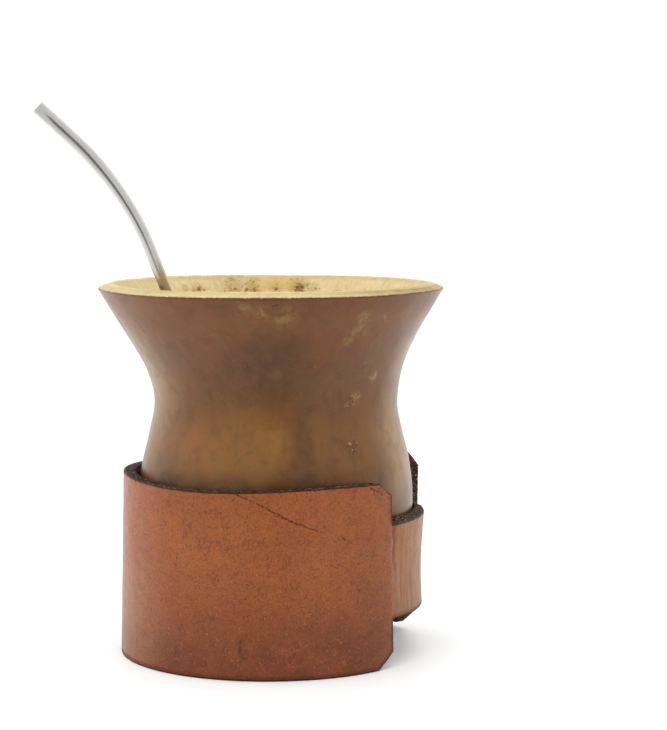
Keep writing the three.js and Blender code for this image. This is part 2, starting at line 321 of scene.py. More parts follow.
LEVELS = np.array([
    0, CHAMFER_FOOT, NECK_BOTTOM, 23, 32, NECK_TOP, RING_HEIGHT - CHAMFER_HEAD, RING_HEIGHT,
])
LEVEL_STEPS = [8, 12, 14, 14, 14, 12, 8]
STATIONS = [
    TAIL_END, TAIL_END + CHAMFER_TURN, SLOT_START, SLOT_END, SHOULDER - CHAMFER_TURN, SHOULDER,
    SLOT_START + 360, HEAD_START, HEAD_END - CHAMFER_TURN, HEAD_END,
]
STATION_STEPS = [8, 8, 24, 256, 8, 82, 26, 10, 12]


def subdivided(values, steps):
    """Values with so many even steps between each two."""
    parts = [np.linspace(a, b, n, endpoint=False) for a, b, n in zip(values, values[1:], steps)]
    return np.append(np.concatenate(parts), values[-1])


station_angle = subdivided(STATIONS, STATION_STEPS)
level_place = subdivided(range(len(LEVELS)), LEVEL_STEPS)
print("flat pattern:", len(station_angle), "columns and", len(level_place), "rows")


# %% Which cells the pattern has
def block_cells(column, row, columns, rows, missing):
    """Cells of one block of the pattern, with one corner cut off where missing names it."""
    cells = []
    for p in range(columns):
        for q in range(rows):
            corners = [(p, q), (p + 1, q), (p + 1, q + 1), (p, q + 1)]
            inside = {
                None: 1, "low_start": p + q - (columns - 1), "low_end": q - p,
                "high_start": p - q, "high_end": (columns - 1) - p - q,
            }[missing]
            if inside < 0:
                continue
            if inside == 0 and missing:
                corners.pop(("low_start", "low_end", "high_end", "high_start").index(missing))
            cells.append([(column + a, row + b) for a, b in corners])
    return cells


def pattern_cells():
    columns = np.concatenate([[0], np.cumsum(STATION_STEPS)])
    rows = np.concatenate([[0], np.cumsum(LEVEL_STEPS)])
    top = len(LEVEL_STEPS)
    slot, shoulder, neck_parts, head_parts = 2, 4, (5, 6), (7, 8)
    cells = []
    for part, steps in enumerate(STATION_STEPS):
        low, high = 0, top
        if part in neck_parts:
            low, high = 2, 5
        elif part in head_parts:
            low, high = 1, top - 1
        for level in range(low, high):
            if part == slot and 2 <= level < 5:
                continue
            missing = None
            ends_here = part in (shoulder, head_parts[-1])
            if level == low and (ends_here or part == 0):
                missing = "low_end" if ends_here else "low_start"
            elif level == high - 1 and (ends_here or part == 0):
                missing = "high_end" if ends_here else "high_start"
            cells += block_cells(columns[part], rows[level], steps, LEVEL_STEPS[level], missing)
    return cells


cells = pattern_cells()
print("cells of the flat pattern:", len(cells))


# %% How a point of the flat pattern is bent
def neck_share(angle):
    return smooth(angle, SHOULDER - 2, SHOULDER + 6)


def outer_radius(angle, height):
    tail = mix(TAIL_RADIUS, RING_RADIUS, smooth(angle, *TAIL_SETTLES))
    across = np.clip((height - NECK_BOTTOM) / (NECK_TOP - NECK_BOTTOM), 0, 1)
    dish = NECK_DISH * np.sin(math.pi * across) * neck_share(angle)
    dish = dish * (1 - smooth(angle, *NECK_FLATTENS))
    ring = RING_RADIUS - dish + HEAD_RISE * smooth(angle, *HEAD_LIFTS)
    return np.where(angle < 180, tail, ring)


def level_height(angle, place):
    """Height of a place between the named levels, with the neck narrowed towards the slot."""
    def at(level):
        narrowing = smooth(angle, 360, SLOT_START + 356)
        wave = TOP_WAVE * np.cos(np.radians(3 * (angle + 61)))
        height = np.where(level >= len(LEVELS) - 2, LEVELS[level] + wave, LEVELS[level])
        height = np.where(level == 2, mix(height, SLOT_NECK_BOTTOM, narrowing), height)
        return np.where(level == 5, mix(height, SLOT_NECK_TOP, narrowing), height)
    low = np.minimum(place.astype(int), len(LEVELS) - 2)
    return mix(at(low), at(low + 1), place - low)


def bent(angle, place, depth, out_angle, out_height, relief):
    """Points of the ring: depth is 0 on the outer side and 1 on the inner side."""
    height = level_height(angle, place)
    slant = SHOULDER_SLANT * (RING_HEIGHT / 2 - height) * (1 - smooth(abs(angle - SHOULDER), 2, 14))
    neck = neck_share(angle)
    thick = mix(LEATHER, NECK_LEATHER, neck)
    radius = outer_radius(angle, height) - depth * thick + relief
    turn = np.radians(angle + slant) + out_angle / RING_RADIUS
    lift = TAIL_LIFT * (1 - smooth(angle + slant, SLOT_START, 110))
    edge = NECK_EDGE * neck * depth * np.clip(place - 4, 0, 1)
    z = np.maximum(height + lift + edge + out_height, 0.0)
    x = radius * np.cos(turn) + RING_LEAN * (z - 17)
    return np.stack([x, radius * np.sin(turn), z], -1)


# %% [markdown]
# The cut edge of thick leather is never square. The knife rounds its outer corner, the middle is
# fibrous, and the inner corner is soft. So each edge of the pattern gets a row of rings, each
# given by how far it steps back from the outline and how deep it lies in the thickness.

# %% Thicken the pattern with rounded, fibrous edges
EDGE_RINGS = [
    (0.50, 0.0), (0.27, 0.015), (0.10, 0.06), (0.0, 0.16), (0.0, 0.38),
    (0.0, 0.62), (0.0, 0.86), (0.12, 0.96), (0.40, 1.0),
]


def outline_edges():
    """Directed outline edges of the pattern, each with the cell on its left."""
    edges = dict.fromkeys(pair for cell in cells for pair in zip(cell, cell[1:] + cell[:1]))
    return [edge for edge in edges if edge[::-1] not in edges]


outline = outline_edges()
keys = sorted({corner for cell in cells for corner in cell})
number = {key: k for k, key in enumerate(keys)}
column, row = np.array(keys).T
angle, place = station_angle[column], level_place[row]
flat_x = np.radians(angle) * RING_RADIUS
flat_z = level_height(angle, place)

outward = np.zeros((len(keys), 2))
for start, end in outline:
    a, b = number[start], number[end]
    run = np.array([flat_x[b] - flat_x[a], flat_z[b] - flat_z[a]])
    side = np.array([run[1], -run[0]]) / max(np.linalg.norm(run), 1e-9)
    outward[a] += side
    outward[b] += side
length = np.linalg.norm(outward, axis=1, keepdims=True)
outward = np.divide(outward, length, out=np.zeros_like(outward), where=length > 0)
on_outline = length[:, 0] > 0
print("points on the outline:", int(on_outline.sum()))


# %% Relief of the leather
CREASE_WIDTH, CREASE_DEPTH, CREASE_WANDER = 0.42, 0.5, 0.55
CREASE_FOOT, CREASE_TOP, CREASE_DEEPENS = (11.5, 15), (41.0, 42.5), (24, 36)
BULGE_BEHIND, BULGE_WIDTH, BULGE_HEIGHT, BULGE_TOP = 2.0, 1.6, 0.08, (40.5, 42.5)
WAVE_HEIGHT, WAVE_SIZE, PEBBLE_HEIGHT, PEBBLE_SIZE = 0.10, 14.0, 0.028, 2.6
PULL_HEIGHT, PULL_SIZE, PULL_STRETCH = 0.09, 2.0, 0.09


def from_crease(angle, height):
    """How far along the strip a place is past the wavy crease where the neck begins, in mm."""
    along = np.radians(angle) * RING_RADIUS
    wander = CREASE_WANDER * soft_noise(np.stack([height, height * 0, height * 0], -1), 5.0, 2)
    return along - np.radians(SHOULDER + 0.4) * RING_RADIUS - wander


def crease_share(angle, height):
    in_height = smooth(height, *CREASE_FOOT) * (1 - smooth(height, *CREASE_TOP))
    deepening = 0.25 + 0.75 * smooth(height, *CREASE_DEEPENS)
    return np.exp(-((from_crease(angle, height) / CREASE_WIDTH) ** 2)) * in_height * deepening


def pulled_share(angle):
    return neck_share(angle) * (1 - smooth(angle, *PULL_FADES))


def leather_relief(angle, place, depth):
    """Slow waves of the hide, wrinkles on the pulled neck and a crease where the neck begins."""
    height = level_height(angle, place)
    along = np.radians(angle) * RING_RADIUS
    flat = np.stack([along, height, depth * LEATHER], -1)
    waves = WAVE_HEIGHT * soft_noise(flat, WAVE_SIZE, 2)
    waves = waves + PEBBLE_HEIGHT * soft_noise(flat, PEBBLE_SIZE, 3)
    stretched = flat * np.array([1.0, PULL_STRETCH, 1.0])
    pulled = PULL_HEIGHT * soft_noise(stretched, PULL_SIZE, 3) * pulled_share(angle)
    crease = crease_share(angle, height)
    behind = (from_crease(angle, height) + BULGE_BEHIND) / BULGE_WIDTH
    bulge = np.exp(-(behind**2)) * smooth(height, *CREASE_FOOT) * (1 - smooth(height, *BULGE_TOP))
    return waves + (1 - depth) * (pulled - CREASE_DEPTH * crease + BULGE_HEIGHT * bulge)


# %% Points and faces of the leather
def sheet_points(depth, step_back):
    back = np.where(on_outline, step_back, 0.0)
    relief = leather_relief(angle, place, np.full(len(keys), depth))
    return bent(angle, place, depth, -back * outward[:, 0], -back * outward[:, 1], relief)


outline_keys = np.flatnonzero(on_outline)
ring_number = {key: k for k, key in enumerate(outline_keys)}


def edge_ring_points(step_back, depth):
    a, p, out = angle[outline_keys], place[outline_keys], outward[outline_keys]
    flat = np.stack([np.radians(a) * RING_RADIUS, level_height(a, p), depth * LEATHER + 0 * a], -1)
    top_corner = smooth(a, SHOULDER - 34, SHOULDER - 14) * (p > 6.5)
    fray = 0.07 + 0.15 * neck_share(a) + 0.13 * top_corner
    rough = fray * soft_noise(flat, 0.9, 3) - 0.05
    reach = rough - step_back
    relief = leather_relief(a, p, depth + 0 * a) * abs(1 - 2 * depth)
    return bent(a, p, depth, reach * out[:, 0], reach * out[:, 1], relief)


layers = [sheet_points(0.0, EDGE_RINGS[0][0])]
layers += [edge_ring_points(back, depth) for back, depth in EDGE_RINGS[1:-1]]
layers += [sheet_points(1.0, EDGE_RINGS[-1][0])]
first_of = np.concatenate([[0], np.cumsum([len(layer) for layer in layers])])
inner_first = int(first_of[-2])


def edge_vertex(layer, key):
    if layer in (0, len(layers) - 1):
        return int(first_of[layer]) + number[key]
    return int(first_of[layer]) + ring_number[number[key]]


leather_faces = [[number[corner] for corner in cell] for cell in cells]
leather_faces += [[inner_first + number[corner] for corner in reversed(cell)] for cell in cells]
for start, end in outline:
    for layer in range(len(layers) - 1):
        leather_faces.append([
            edge_vertex(layer, end), edge_vertex(layer, start),
            edge_vertex(layer + 1, start), edge_vertex(layer + 1, end),
        ])
leather = mesh_piece("leather_strip", np.vstack(layers), leather_faces)
print("leather faces:", len(leather.data.polygons))

# %% [markdown]
# Leather is dyed and finished flat, so its grain has to follow the strip and not the room. Each
# point keeps where it was on the flat pattern: how far along, how high, and how near a cut edge.

# %% Keep the flat pattern's places on the leather
RING_LAYERS = len(layers) - 2
RING_DEPTHS = [depth for _, depth in EDGE_RINGS[1:-1]]


def keep(name, outer, inner, rings):
    """One number for each point of the outer sheet, of the edge rings and of the inner sheet."""
    store(leather, name, np.concatenate([outer, *rings, inner]))


def each_ring(values):
    return [np.full(len(outline_keys), value) for value in values]


keep("along", flat_x, flat_x, [flat_x[outline_keys]] * RING_LAYERS)
keep("up", flat_z, flat_z, [flat_z[outline_keys]] * RING_LAYERS)
edge_amount = [min(1.0, 0.25 + 3.0 * min(d, 1 - d + 0.1)) for d in RING_DEPTHS]
sheet_edge = np.where(on_outline, 0.27, 0.0)
keep("edge", sheet_edge, sheet_edge, each_ring(edge_amount))
keep("flesh", 0 * flat_x, 0 * flat_x + 1, each_ring(RING_DEPTHS))


def hem_and_shade_share():
    """1 at a cut edge, fading to 0 within two millimetres, and 0 along the top edge: partly the
    darker hem of the cut, partly painted shade on the bottom and side edges, away from the light.
    """
    nearest = KDTree(len(outline_keys))
    for key in outline_keys:
        nearest.insert((flat_x[key], flat_z[key], 0.0), int(key))
    nearest.balance()
    found = [nearest.find((x, z, 0.0)) for x, z in zip(flat_x, flat_z)]
    away = np.array([distance for _, _, distance in found])
    facing_up = outward[[key for _, key, _ in found], 1]
    return (1 - smooth(away, 0.3, 2.0)) * np.clip(1 - facing_up, 0, 1)


hem_and_shade_sheet = hem_and_shade_share()
keep("hem_and_shade", hem_and_shade_sheet, 0 * hem_and_shade_sheet, [hem_and_shade_sheet[outline_keys]] * RING_LAYERS)
for name, sheet in [("crease", crease_share(angle, flat_z)), ("rub", pulled_share(angle))]:
    keep(name, sheet, 0 * sheet, each_ring([0.0] * RING_LAYERS))

# %% [markdown]
# ## The straw
# A drawn steel tube. Its stem leans on the lip, one bend turns it to the left, its mouth end is a
# little wider, and its hidden foot is pinched flat and pierced so that leaves stay out. The tube is
# a skin of rings round the middle line, up the outside and down the bore, so the open end has a
# real wall. Stem and tip each point their own way, and the bend turns one into the other.

# %% Ways, sizes and middle line of the tube
STRAW_RADIUS, STRAW_WALL = 1.62, 0.36
MOUTH_END_RADIUS, MOUTH_END_FULL, MOUTH_END_FROM = 1.8, 20.0, 36.0
STEM_WAY, TIP_WAY = (228.0, 28.3), (184.0, 47.05)
STRAW_AT_LIP = np.array([-29.3, -31.3, 108.0])
BELOW_LIP, ABOVE_LIP, BEND_RADIUS, TIP_LENGTH = 111.8, 12.8, 66.4, 13.0
FLAT_LENGTH, FLAT_TAPER, FLAT_HALF_WIDTH, FLAT_HALF_THICKNESS = 18.0, 9.0, 3.1, 1.25
STRAW_SIDES = 40


def pointing(azimuth, tilt):
    """A direction by its angle seen from above and its lean from upright, in degrees."""
    azimuth, tilt = math.radians(azimuth), math.radians(tilt)
    level = math.sin(tilt)
    return np.array([level * math.cos(azimuth), level * math.sin(azimuth), math.cos(tilt)])


def unit(vector):
    return vector / np.linalg.norm(vector)


stem, tip = pointing(*STEM_WAY), pointing(*TIP_WAY)
flat_side = unit(np.cross([0.0, 0.0, 1.0], stem))
flat_face = np.cross(stem, flat_side)
bend_axis = unit(np.cross(stem, tip))
bend_inward = np.cross(bend_axis, stem)
BEND_TURN = math.acos(float(stem @ tip))
STRAIGHT = BELOW_LIP + ABOVE_LIP
STRAW_LENGTH = STRAIGHT + BEND_RADIUS * BEND_TURN + TIP_LENGTH
print("length of the straw in mm:", round(STRAW_LENGTH, 1))


def turned(way, turn):
    """A direction carried round the bend, one row for each turn."""
    fixed = bend_axis * float(way @ bend_axis)
    return (way - fixed) * np.cos(turn) + np.cross(bend_axis, way) * np.sin(turn) + fixed


def straw_station(along):
    """Middle of the tube, and the two directions across it."""
    turn = np.clip((along - STRAIGHT) / BEND_RADIUS, 0, BEND_TURN)[:, None]
    before = (np.minimum(along, STRAIGHT) - BELOW_LIP)[:, None]
    after = np.maximum(0, along - STRAIGHT - BEND_RADIUS * BEND_TURN)[:, None]
    middle = STRAW_AT_LIP + (before + BEND_RADIUS * np.sin(turn)) * stem
    middle = middle + BEND_RADIUS * (1 - np.cos(turn)) * bend_inward + after * turned(stem, turn)
    return middle, turned(flat_side, turn), turned(flat_face, turn)


def straw_rings(along, inset):
    flat = 1 - smooth(along, FLAT_LENGTH - FLAT_TAPER, FLAT_LENGTH)
    flared = smooth(along, STRAW_LENGTH - MOUTH_END_FROM, STRAW_LENGTH - MOUTH_END_FULL)
    round_radius = mix(STRAW_RADIUS, MOUTH_END_RADIUS, flared)
    reach = np.clip((along - inset) / FLAT_HALF_WIDTH, 0, 1)
    end = np.sqrt(1 - (1 - reach) ** 2)
    wide = mix(round_radius, FLAT_HALF_WIDTH, flat) * end - inset
    thin = mix(round_radius, FLAT_HALF_THICKNESS, flat) * np.sqrt(end) - inset
    middle, side, across = straw_station(along)
    turn = np.arange(STRAW_SIDES) * 2 * math.pi / STRAW_SIDES
    ring = (wide[:, None] * np.cos(turn))[..., None] * side[:, None, :]
    ring = ring + (thin[:, None] * np.sin(turn))[..., None] * across[:, None, :]
    return middle[:, None, :] + ring


# %% Skin of the tube, up the outside, over the rim and down the bore
RIM_ROUND = 0.1
foot_lengths = np.array([0.02, 0.1, 0.3, 0.6, 1.0, 1.5, 2.1, 2.8, 3.5, 5, 6.5, 8, 9.5])
stem_lengths = np.concatenate([np.linspace(11, 18, 10), np.linspace(26, STRAIGHT, 18)])
bend_lengths = np.linspace(STRAIGHT, STRAW_LENGTH - TIP_LENGTH, 44)[1:]
tip_lengths = np.array([STRAW_LENGTH - 6, STRAW_LENGTH - RIM_ROUND])
outer_lengths = np.concatenate([foot_lengths, stem_lengths, bend_lengths, tip_lengths])
bore_lengths = np.append(outer_lengths[outer_lengths > 0.5], STRAW_LENGTH - 0.02)
outside_rings = straw_rings(outer_lengths, 0.0)
rim_ring = straw_rings(np.array([STRAW_LENGTH]), RIM_ROUND)
bore_rings = straw_rings(bore_lengths, STRAW_WALL)[::-1]
tube = np.vstack([outside_rings, rim_ring, bore_rings])
ends, _, _ = straw_station(np.array([0.0, STRAW_WALL + 0.05]))
tube_points = len(tube) * STRAW_SIDES
tube_faces = ring_faces(len(tube), STRAW_SIDES, 0)
tube_faces += fan_faces(tube_points, 0, STRAW_SIDES, True)
tube_faces += fan_faces(tube_points + 1, tube_points - STRAW_SIDES, STRAW_SIDES, False)
straw = mesh_piece("straw_tube", np.vstack([tube.reshape(-1, 3), ends]), tube_faces)
print("straw faces before piercing:", len(straw.data.polygons))

# %% [markdown]
# The holes of the flat end are a row of the same pin, so Geometry Nodes makes them: a line of
# points, a pin on each, and one Boolean that cuts them all. The tree takes the number, spacing and
# size of the holes as inputs, and the result is kept as a plain mesh.

# %% Pierce the flat end with a Geometry Nodes tree
def applied(piece, tree, values):
    """The piece as a plain mesh, after the tree has run with these inputs."""
    modifier = piece.modifiers.new(tree.name, "NODES")
    modifier.node_group = tree
    for item in tree.interface.items_tree:
        if item.in_out == "INPUT" and item.name in values:
            modifier[item.identifier] = values[item.name]
    graph = bpy.context.evaluated_depsgraph_get()
    graph.update()
    result = bpy.data.meshes.new_from_object(piece.evaluated_get(graph))
    piece.modifiers.clear()
    old = piece.data
    piece.data = result
    name = old.name
    bpy.data.meshes.remove(old)
    piece.data.name = name
    return piece


def piercing_tree():
    tree, given, result = new_group("GeometryNodeTree", "pierce", {
        "Geometry": "Geometry", "Count": "Int", "Start": "Vector", "Step": "Vector",
        "Turn": "Vector", "Radius": "Float", "Depth": "Float",
    }, ("Geometry", "Geometry"))
    row = add(tree, "GeometryNodeMeshLine", {
        "Count": given["Count"], "Start Location": given["Start"], "Offset": given["Step"],
    })
    pin = add(tree, "GeometryNodeMeshCylinder", {
        "Vertices": PIN_SIDES, "Radius": given["Radius"], "Depth": given["Depth"],
    })
    pins = add(tree, "GeometryNodeInstanceOnPoints", {
        "Points": row.outputs["Mesh"], "Instance": pin.outputs["Mesh"], "Rotation": given["Turn"],
    })
    real = add(tree, "GeometryNodeRealizeInstances", {"Geometry": pins.outputs["Instances"]})
    cut = add(tree, "GeometryNodeMeshBoolean", {
        "Mesh 1": given["Geometry"], "Mesh 2": real.outputs["Geometry"],
    }, operation="DIFFERENCE", solver="EXACT")
    feed(tree, result, cut.outputs["Mesh"])
    return tree


HOLE_COUNT, HOLE_PITCH, HOLE_RADIUS, PIN_SIDES = 4, 2.6, 0.55, 20
foot_middle, _, foot_across = straw_station(np.array([HOLE_PITCH, 2 * HOLE_PITCH]))
pin_turn = Vector(foot_across[0]).to_track_quat("Z", "Y").to_euler()
applied(straw, piercing_tree(), {
    "Count": HOLE_COUNT, "Start": tuple(foot_middle[0] * MM),
    "Step": tuple((foot_middle[1] - foot_middle[0]) * MM), "Turn": tuple(pin_turn),
    "Radius": HOLE_RADIUS * MM, "Depth": 6 * FLAT_HALF_THICKNESS * MM,
})
print("straw faces after piercing:", len(straw.data.polygons))

# %% [markdown]
# ## Pith fibres
# A scraped gourd keeps tufts of dry pith on its inner wall. They are far too many to place by hand:
# Geometry Nodes scatters copies of one short curled fibre, and small crumbs, over a patch of the
# wall, thickest in the tufts listed below, each turned and sized at random from a fixed seed.

# %% Patch of wall that carries the tufts
TUFTS = [
    # angle and height of the middle on the inner wall, radius, and how thick it stands
    (121.5, 104.4, 3.2, 0.6), (127.0, 104.6, 2.0, 0.5), (105.0, 105.2, 5.6, 0.8),
    (98.0, 104.6, 4.2, 0.95), (88.0, 105.2, 3.6, 0.4), (79.0, 105.0, 4.6, 1.0),
    (72.5, 104.9, 2.4, 0.5), (62.0, 103.4, 1.6, 0.4), (141.0, 102.0, 2.2, 0.5),
    (33.0, 100.5, 2.6, 0.6), (-64.0, 98.0, 3.4, 0.7), (-112.0, 96.0, 3.8, 0.7),
    (178.0, 97.0, 4.0, 0.8), (5.0, 94.0, 3.6, 0.7), (150.0, 90.0, 4.4, 0.8), (60.0, 88.0, 4.6, 0.8),
]
PITS = [
    # angle, height and radius of the holes between the fibres, darkened with painted shade
    (79.5, 104.0, 1.6), (77.4, 104.3, 1.4), (75.4, 105.2, 1.3), (82.2, 104.8, 0.8),
    (120.5, 104.1, 1.0), (99.5, 106.2, 0.9), (97.0, 103.4, 1.2), (102.4, 105.0, 0.8),
    (88.0, 103.7, 0.8), (72.8, 105.8, 0.6), (-64.0, 98.0, 1.0), (-112.0, 96.0, 1.1),
    (178.0, 97.0, 1.0), (150.0, 90.0, 1.1),
]
PATCH_ROWS = 90


def on_wall(angle, height):
    """A place on the inner wall in millimetres."""
    radius = float(np.interp(height, inner_rows[::-1, 1], inner_rows[::-1, 0]))
    turn = math.radians(angle)
    return (radius * math.cos(turn) + float(middle_shift(height)), radius * math.sin(turn), height)


first_inner = len(outer_rows) + len(lip_rows)
patch_points = points[first_inner:first_inner + PATCH_ROWS].reshape(-1, 3)
tufts = mesh_piece("pith_tufts", patch_points, ring_faces(PATCH_ROWS, GOURD_SIDES, 0))
tuft_share = np.zeros(len(patch_points))
for tuft_angle, tuft_height, tuft_radius, thickness in TUFTS:
    away = np.linalg.norm(patch_points - np.array(on_wall(tuft_angle, tuft_height)), axis=1)
    thinning = smooth(away, 0.3 * tuft_radius, tuft_radius)
    tuft_share = np.maximum(tuft_share, thickness * (1 - thinning))
store(tufts, "tuft", tuft_share)
print("points of the patch inside a tuft:", int((tuft_share > 0).sum()))


# %% A tree that grows fibres and crumbs where the tufts are
FIBRE_SHARE, FIBRE_STEPS, FIBRE_SIDES, FIBRE_CURL = 0.5, 6, 4, math.radians(120)
SMALLEST, LARGEST, ANY_TURN = (0.35,) * 3, (1.3,) * 3, (2 * math.pi,) * 3


def tuft_tree():
    tree, given, result = new_group("GeometryNodeTree", "pith tufts", {
        "Geometry": "Geometry", "Density": "Float", "Length": "Float", "Thickness": "Float",
        "Crumb size": "Float", "Seed": "Int", "Finish": "Material",
    }, ("Geometry", "Geometry"))

    def scattered(shape, share, seed_step):
        """Copies of a shape over the patch, each turned and sized at random."""
        tuft = add(tree, "GeometryNodeInputNamedAttribute", {"Name": "tuft"}).outputs[0]
        density = scaled(tree, scaled(tree, tuft, given["Density"]), share)
        seed = number_node(tree, "ADD", given["Seed"], seed_step)
        scatter = add(tree, "GeometryNodeDistributePointsOnFaces", {
            "Mesh": given["Geometry"], "Density": density, "Seed": seed,
        })
        turn = add(tree, "FunctionNodeRandomValue", {"Max": ANY_TURN, "Seed": seed},
                   data_type="FLOAT_VECTOR")
        size = add(tree, "FunctionNodeRandomValue", {"Min": SMALLEST, "Max": LARGEST, "Seed": seed},
                   data_type="FLOAT_VECTOR")
        return add(tree, "GeometryNodeInstanceOnPoints", {
            "Points": scatter.outputs["Points"], "Rotation": turn.outputs["Value"],
            "Scale": size.outputs["Value"], "Instance": shape.outputs["Mesh"],
        }).outputs["Instances"]

    arc = add(tree, "GeometryNodeCurveArc", {
        "Resolution": FIBRE_STEPS, "Sweep Angle": FIBRE_CURL, "Radius": given["Length"],
    })
    ring = add(tree, "GeometryNodeCurvePrimitiveCircle", {
        "Resolution": FIBRE_SIDES, "Radius": given["Thickness"],
    })
    fibre = add(tree, "GeometryNodeCurveToMesh", {
        "Curve": arc.outputs["Curve"], "Profile Curve": ring.outputs["Curve"], "Fill Caps": True,
    })
    crumb = add(tree, "GeometryNodeMeshIcoSphere", {
        "Subdivisions": 1, "Radius": given["Crumb size"],
    })
    join = add(tree, "GeometryNodeJoinGeometry")
    for shape, share, seed_step in [(fibre, FIBRE_SHARE, 0.0), (crumb, 1.0 - FIBRE_SHARE, 1.0)]:
        feed(tree, join.inputs["Geometry"], scattered(shape, share, seed_step))
    real = add(tree, "GeometryNodeRealizeInstances", {"Geometry": join.outputs["Geometry"]})
    finish = add(tree, "GeometryNodeSetMaterial", {
        "Geometry": real.outputs["Geometry"], "Material": given["Finish"],
    })
    feed(tree, result, finish.outputs["Geometry"])
    return tree


# %% [markdown]
# ## Materials
# All patterns are measured in millimetres. Three things are shared by more than one finish: soft
# mottling, a noise squeezed between two limits, a fine line drawn between two places, and a soft
# spot. Each is a node group with named inputs and outputs, built once.

# %% Node helpers
def colour(red, green, blue):
    """A colour as seen on screen, 0 to 255, in the linear values that shaders use."""
    values = []
    for value in (red, green, blue):
        share = value / 255.0
        values.append(share / 12.92 if share <= 0.04045 else ((share + 0.055) / 1.055) ** 2.4)
    return (*values, 1.0)


def new_material(name):
    material = bpy.data.materials.new(name)
    material.use_nodes = True
    shader = material.node_tree.nodes["Principled BSDF"]
    return material, material.node_tree, shader


def dress(tree, shader, values):
    """Give the shader its values: outputs of nodes are linked, plain numbers are set."""
    for name, value in values.items():
        feed(tree, shader.inputs[name], value)


def millimetres(tree, stretch=(1, 1, 1)):
    """Object coordinates in millimetres, squeezed along each axis where a pattern is stretched."""
    where = add(tree, "ShaderNodeTexCoord").outputs["Object"]
    scale = tuple(1000.0 * s for s in stretch)
    return add(tree, "ShaderNodeMapping", {"Vector": where, "Scale": scale}).outputs[0]


def stored(tree, name):
    """The number that the mesh keeps under this name."""
    return add(tree, "ShaderNodeAttribute", attribute_name=name).outputs["Fac"]


def noise_node(tree, vector, scale, detail, roughness=0.5, distortion=0.0):
    return add(tree, "ShaderNodeTexNoise", {
        "Vector": vector, "Scale": scale, "Detail": detail, "Roughness": roughness,
        "Distortion": distortion,
    })


def vector_node(tree, operation, *values):
    return add(tree, "ShaderNodeVectorMath", enumerate(values), operation=operation)


def stretched_vector(tree, vector, amount):
    inputs = {0: vector, "Scale": amount}
    return add(tree, "ShaderNodeVectorMath", inputs, operation="SCALE").outputs[0]


def ramp(tree, factor, stops):
    node = add(tree, "ShaderNodeValToRGB", {"Fac": factor})
    node.color_ramp.interpolation = "EASE"
    while len(node.color_ramp.elements) < len(stops):
        node.color_ramp.elements.new(0.5)
    for element, (position, value) in zip(node.color_ramp.elements, stops):
        element.position = position
        element.color = value
    return node.outputs["Color"]


def blend(tree, factor, first, second):
    inputs = {0: factor, 6: first, 7: second}
    return add(tree, "ShaderNodeMix", inputs, data_type="RGBA").outputs[2]


def tinted(tree, base, mask, strength, tone):
    """The base with a tone laid over it where the mask is."""
    return blend(tree, scaled(tree, mask, strength), base, colour(*tone))


def spread(tree, value, low, high, to_low=0.0, to_high=1.0):
    return add(tree, "ShaderNodeMapRange", {
        "Value": value, "From Min": low, "From Max": high, "To Min": to_low, "To Max": to_high,
    }, interpolation_type="SMOOTHSTEP").outputs["Result"]


def bumped(tree, height, distance, strength):
    """A normal that follows the height, with the distance in millimetres."""
    return add(tree, "ShaderNodeBump", {
        "Height": height, "Distance": distance * MM, "Strength": strength,
    }).outputs["Normal"]


# %% Shared effect: mottling
def new_effect(name, **inputs):
    return new_group("ShaderNodeTree", name, inputs, ("Mask", "Float"))


def mottle_group():
    tree, given, result = new_effect(
        "mottle", Vector="Vector", Size="Float", Detail="Float", Low="Float", High="Float",
        Warp="Float",
    )
    scale = number_node(tree, "DIVIDE", 1.0, given["Size"])
    pattern = noise_node(tree, given["Vector"], scale, given["Detail"], 0.55, given["Warp"])
    feed(tree, result, spread(tree, pattern.outputs["Fac"], given["Low"], given["High"]))
    return tree


MOTTLE = mottle_group()


def mottle(tree, vector, size, detail=3.0, low=0.4, high=0.6, warp=0.0):
    return add(tree, "ShaderNodeGroup", {
        "Vector": vector, "Size": size, "Detail": detail, "Low": low, "High": high, "Warp": warp,
    }, node_tree=MOTTLE).outputs["Mask"]


# %% Shared effect: a fine line between two places
def line_group():
    tree, given, result = new_effect(
        "line", Vector="Vector", Start="Vector", End="Vector", Width="Float",
    )
    run = vector_node(tree, "SUBTRACT", given["End"], given["Start"]).outputs[0]
    away = vector_node(tree, "SUBTRACT", given["Vector"], given["Start"]).outputs[0]
    projected = vector_node(tree, "DOT_PRODUCT", away, run).outputs["Value"]
    squared = vector_node(tree, "DOT_PRODUCT", run, run).outputs["Value"]
    share = number_node(tree, "DIVIDE", projected, squared)
    clamped = add(tree, "ShaderNodeClamp", {"Value": share}).outputs[0]
    foot = stretched_vector(tree, run, clamped)
    distance = vector_node(tree, "DISTANCE", away, foot).outputs["Value"]
    relative = number_node(tree, "DIVIDE", distance, given["Width"])
    feed(tree, result, spread(tree, relative, 0.3, 1.0, 1.0, 0.0))
    return tree


LINE = line_group()


def line(tree, vector, start, end, width):
    return add(tree, "ShaderNodeGroup", {
        "Vector": vector, "Start": start, "End": end, "Width": width,
    }, node_tree=LINE).outputs["Mask"]


# %% Shared effect: a soft spot
def spot_group():
    tree, given, result = new_effect(
        "spot", Vector="Vector", Centre="Vector", Stretch="Vector", Radius="Float",
    )
    away = vector_node(tree, "SUBTRACT", given["Vector"], given["Centre"]).outputs[0]
    squeezed = vector_node(tree, "MULTIPLY", away, given["Stretch"]).outputs[0]
    far = vector_node(tree, "LENGTH", squeezed).outputs["Value"]
    relative = number_node(tree, "DIVIDE", far, given["Radius"])
    feed(tree, result, spread(tree, relative, 0.1, 1.0, 1.0, 0.0))
    return tree


SPOT = spot_group()


def spot(tree, vector, centre, radius, stretch=(1.0, 1.0, 1.0)):
    return add(tree, "ShaderNodeGroup", {
        "Vector": vector, "Centre": centre, "Stretch": stretch, "Radius": radius,
    }, node_tree=SPOT).outputs["Mask"]


def strongest(tree, masks):
    """The highest of several masks at each place."""
    total = masks[0]
    for mask in masks[1:]:
        total = number_node(tree, "MAXIMUM", total, mask)
    return total


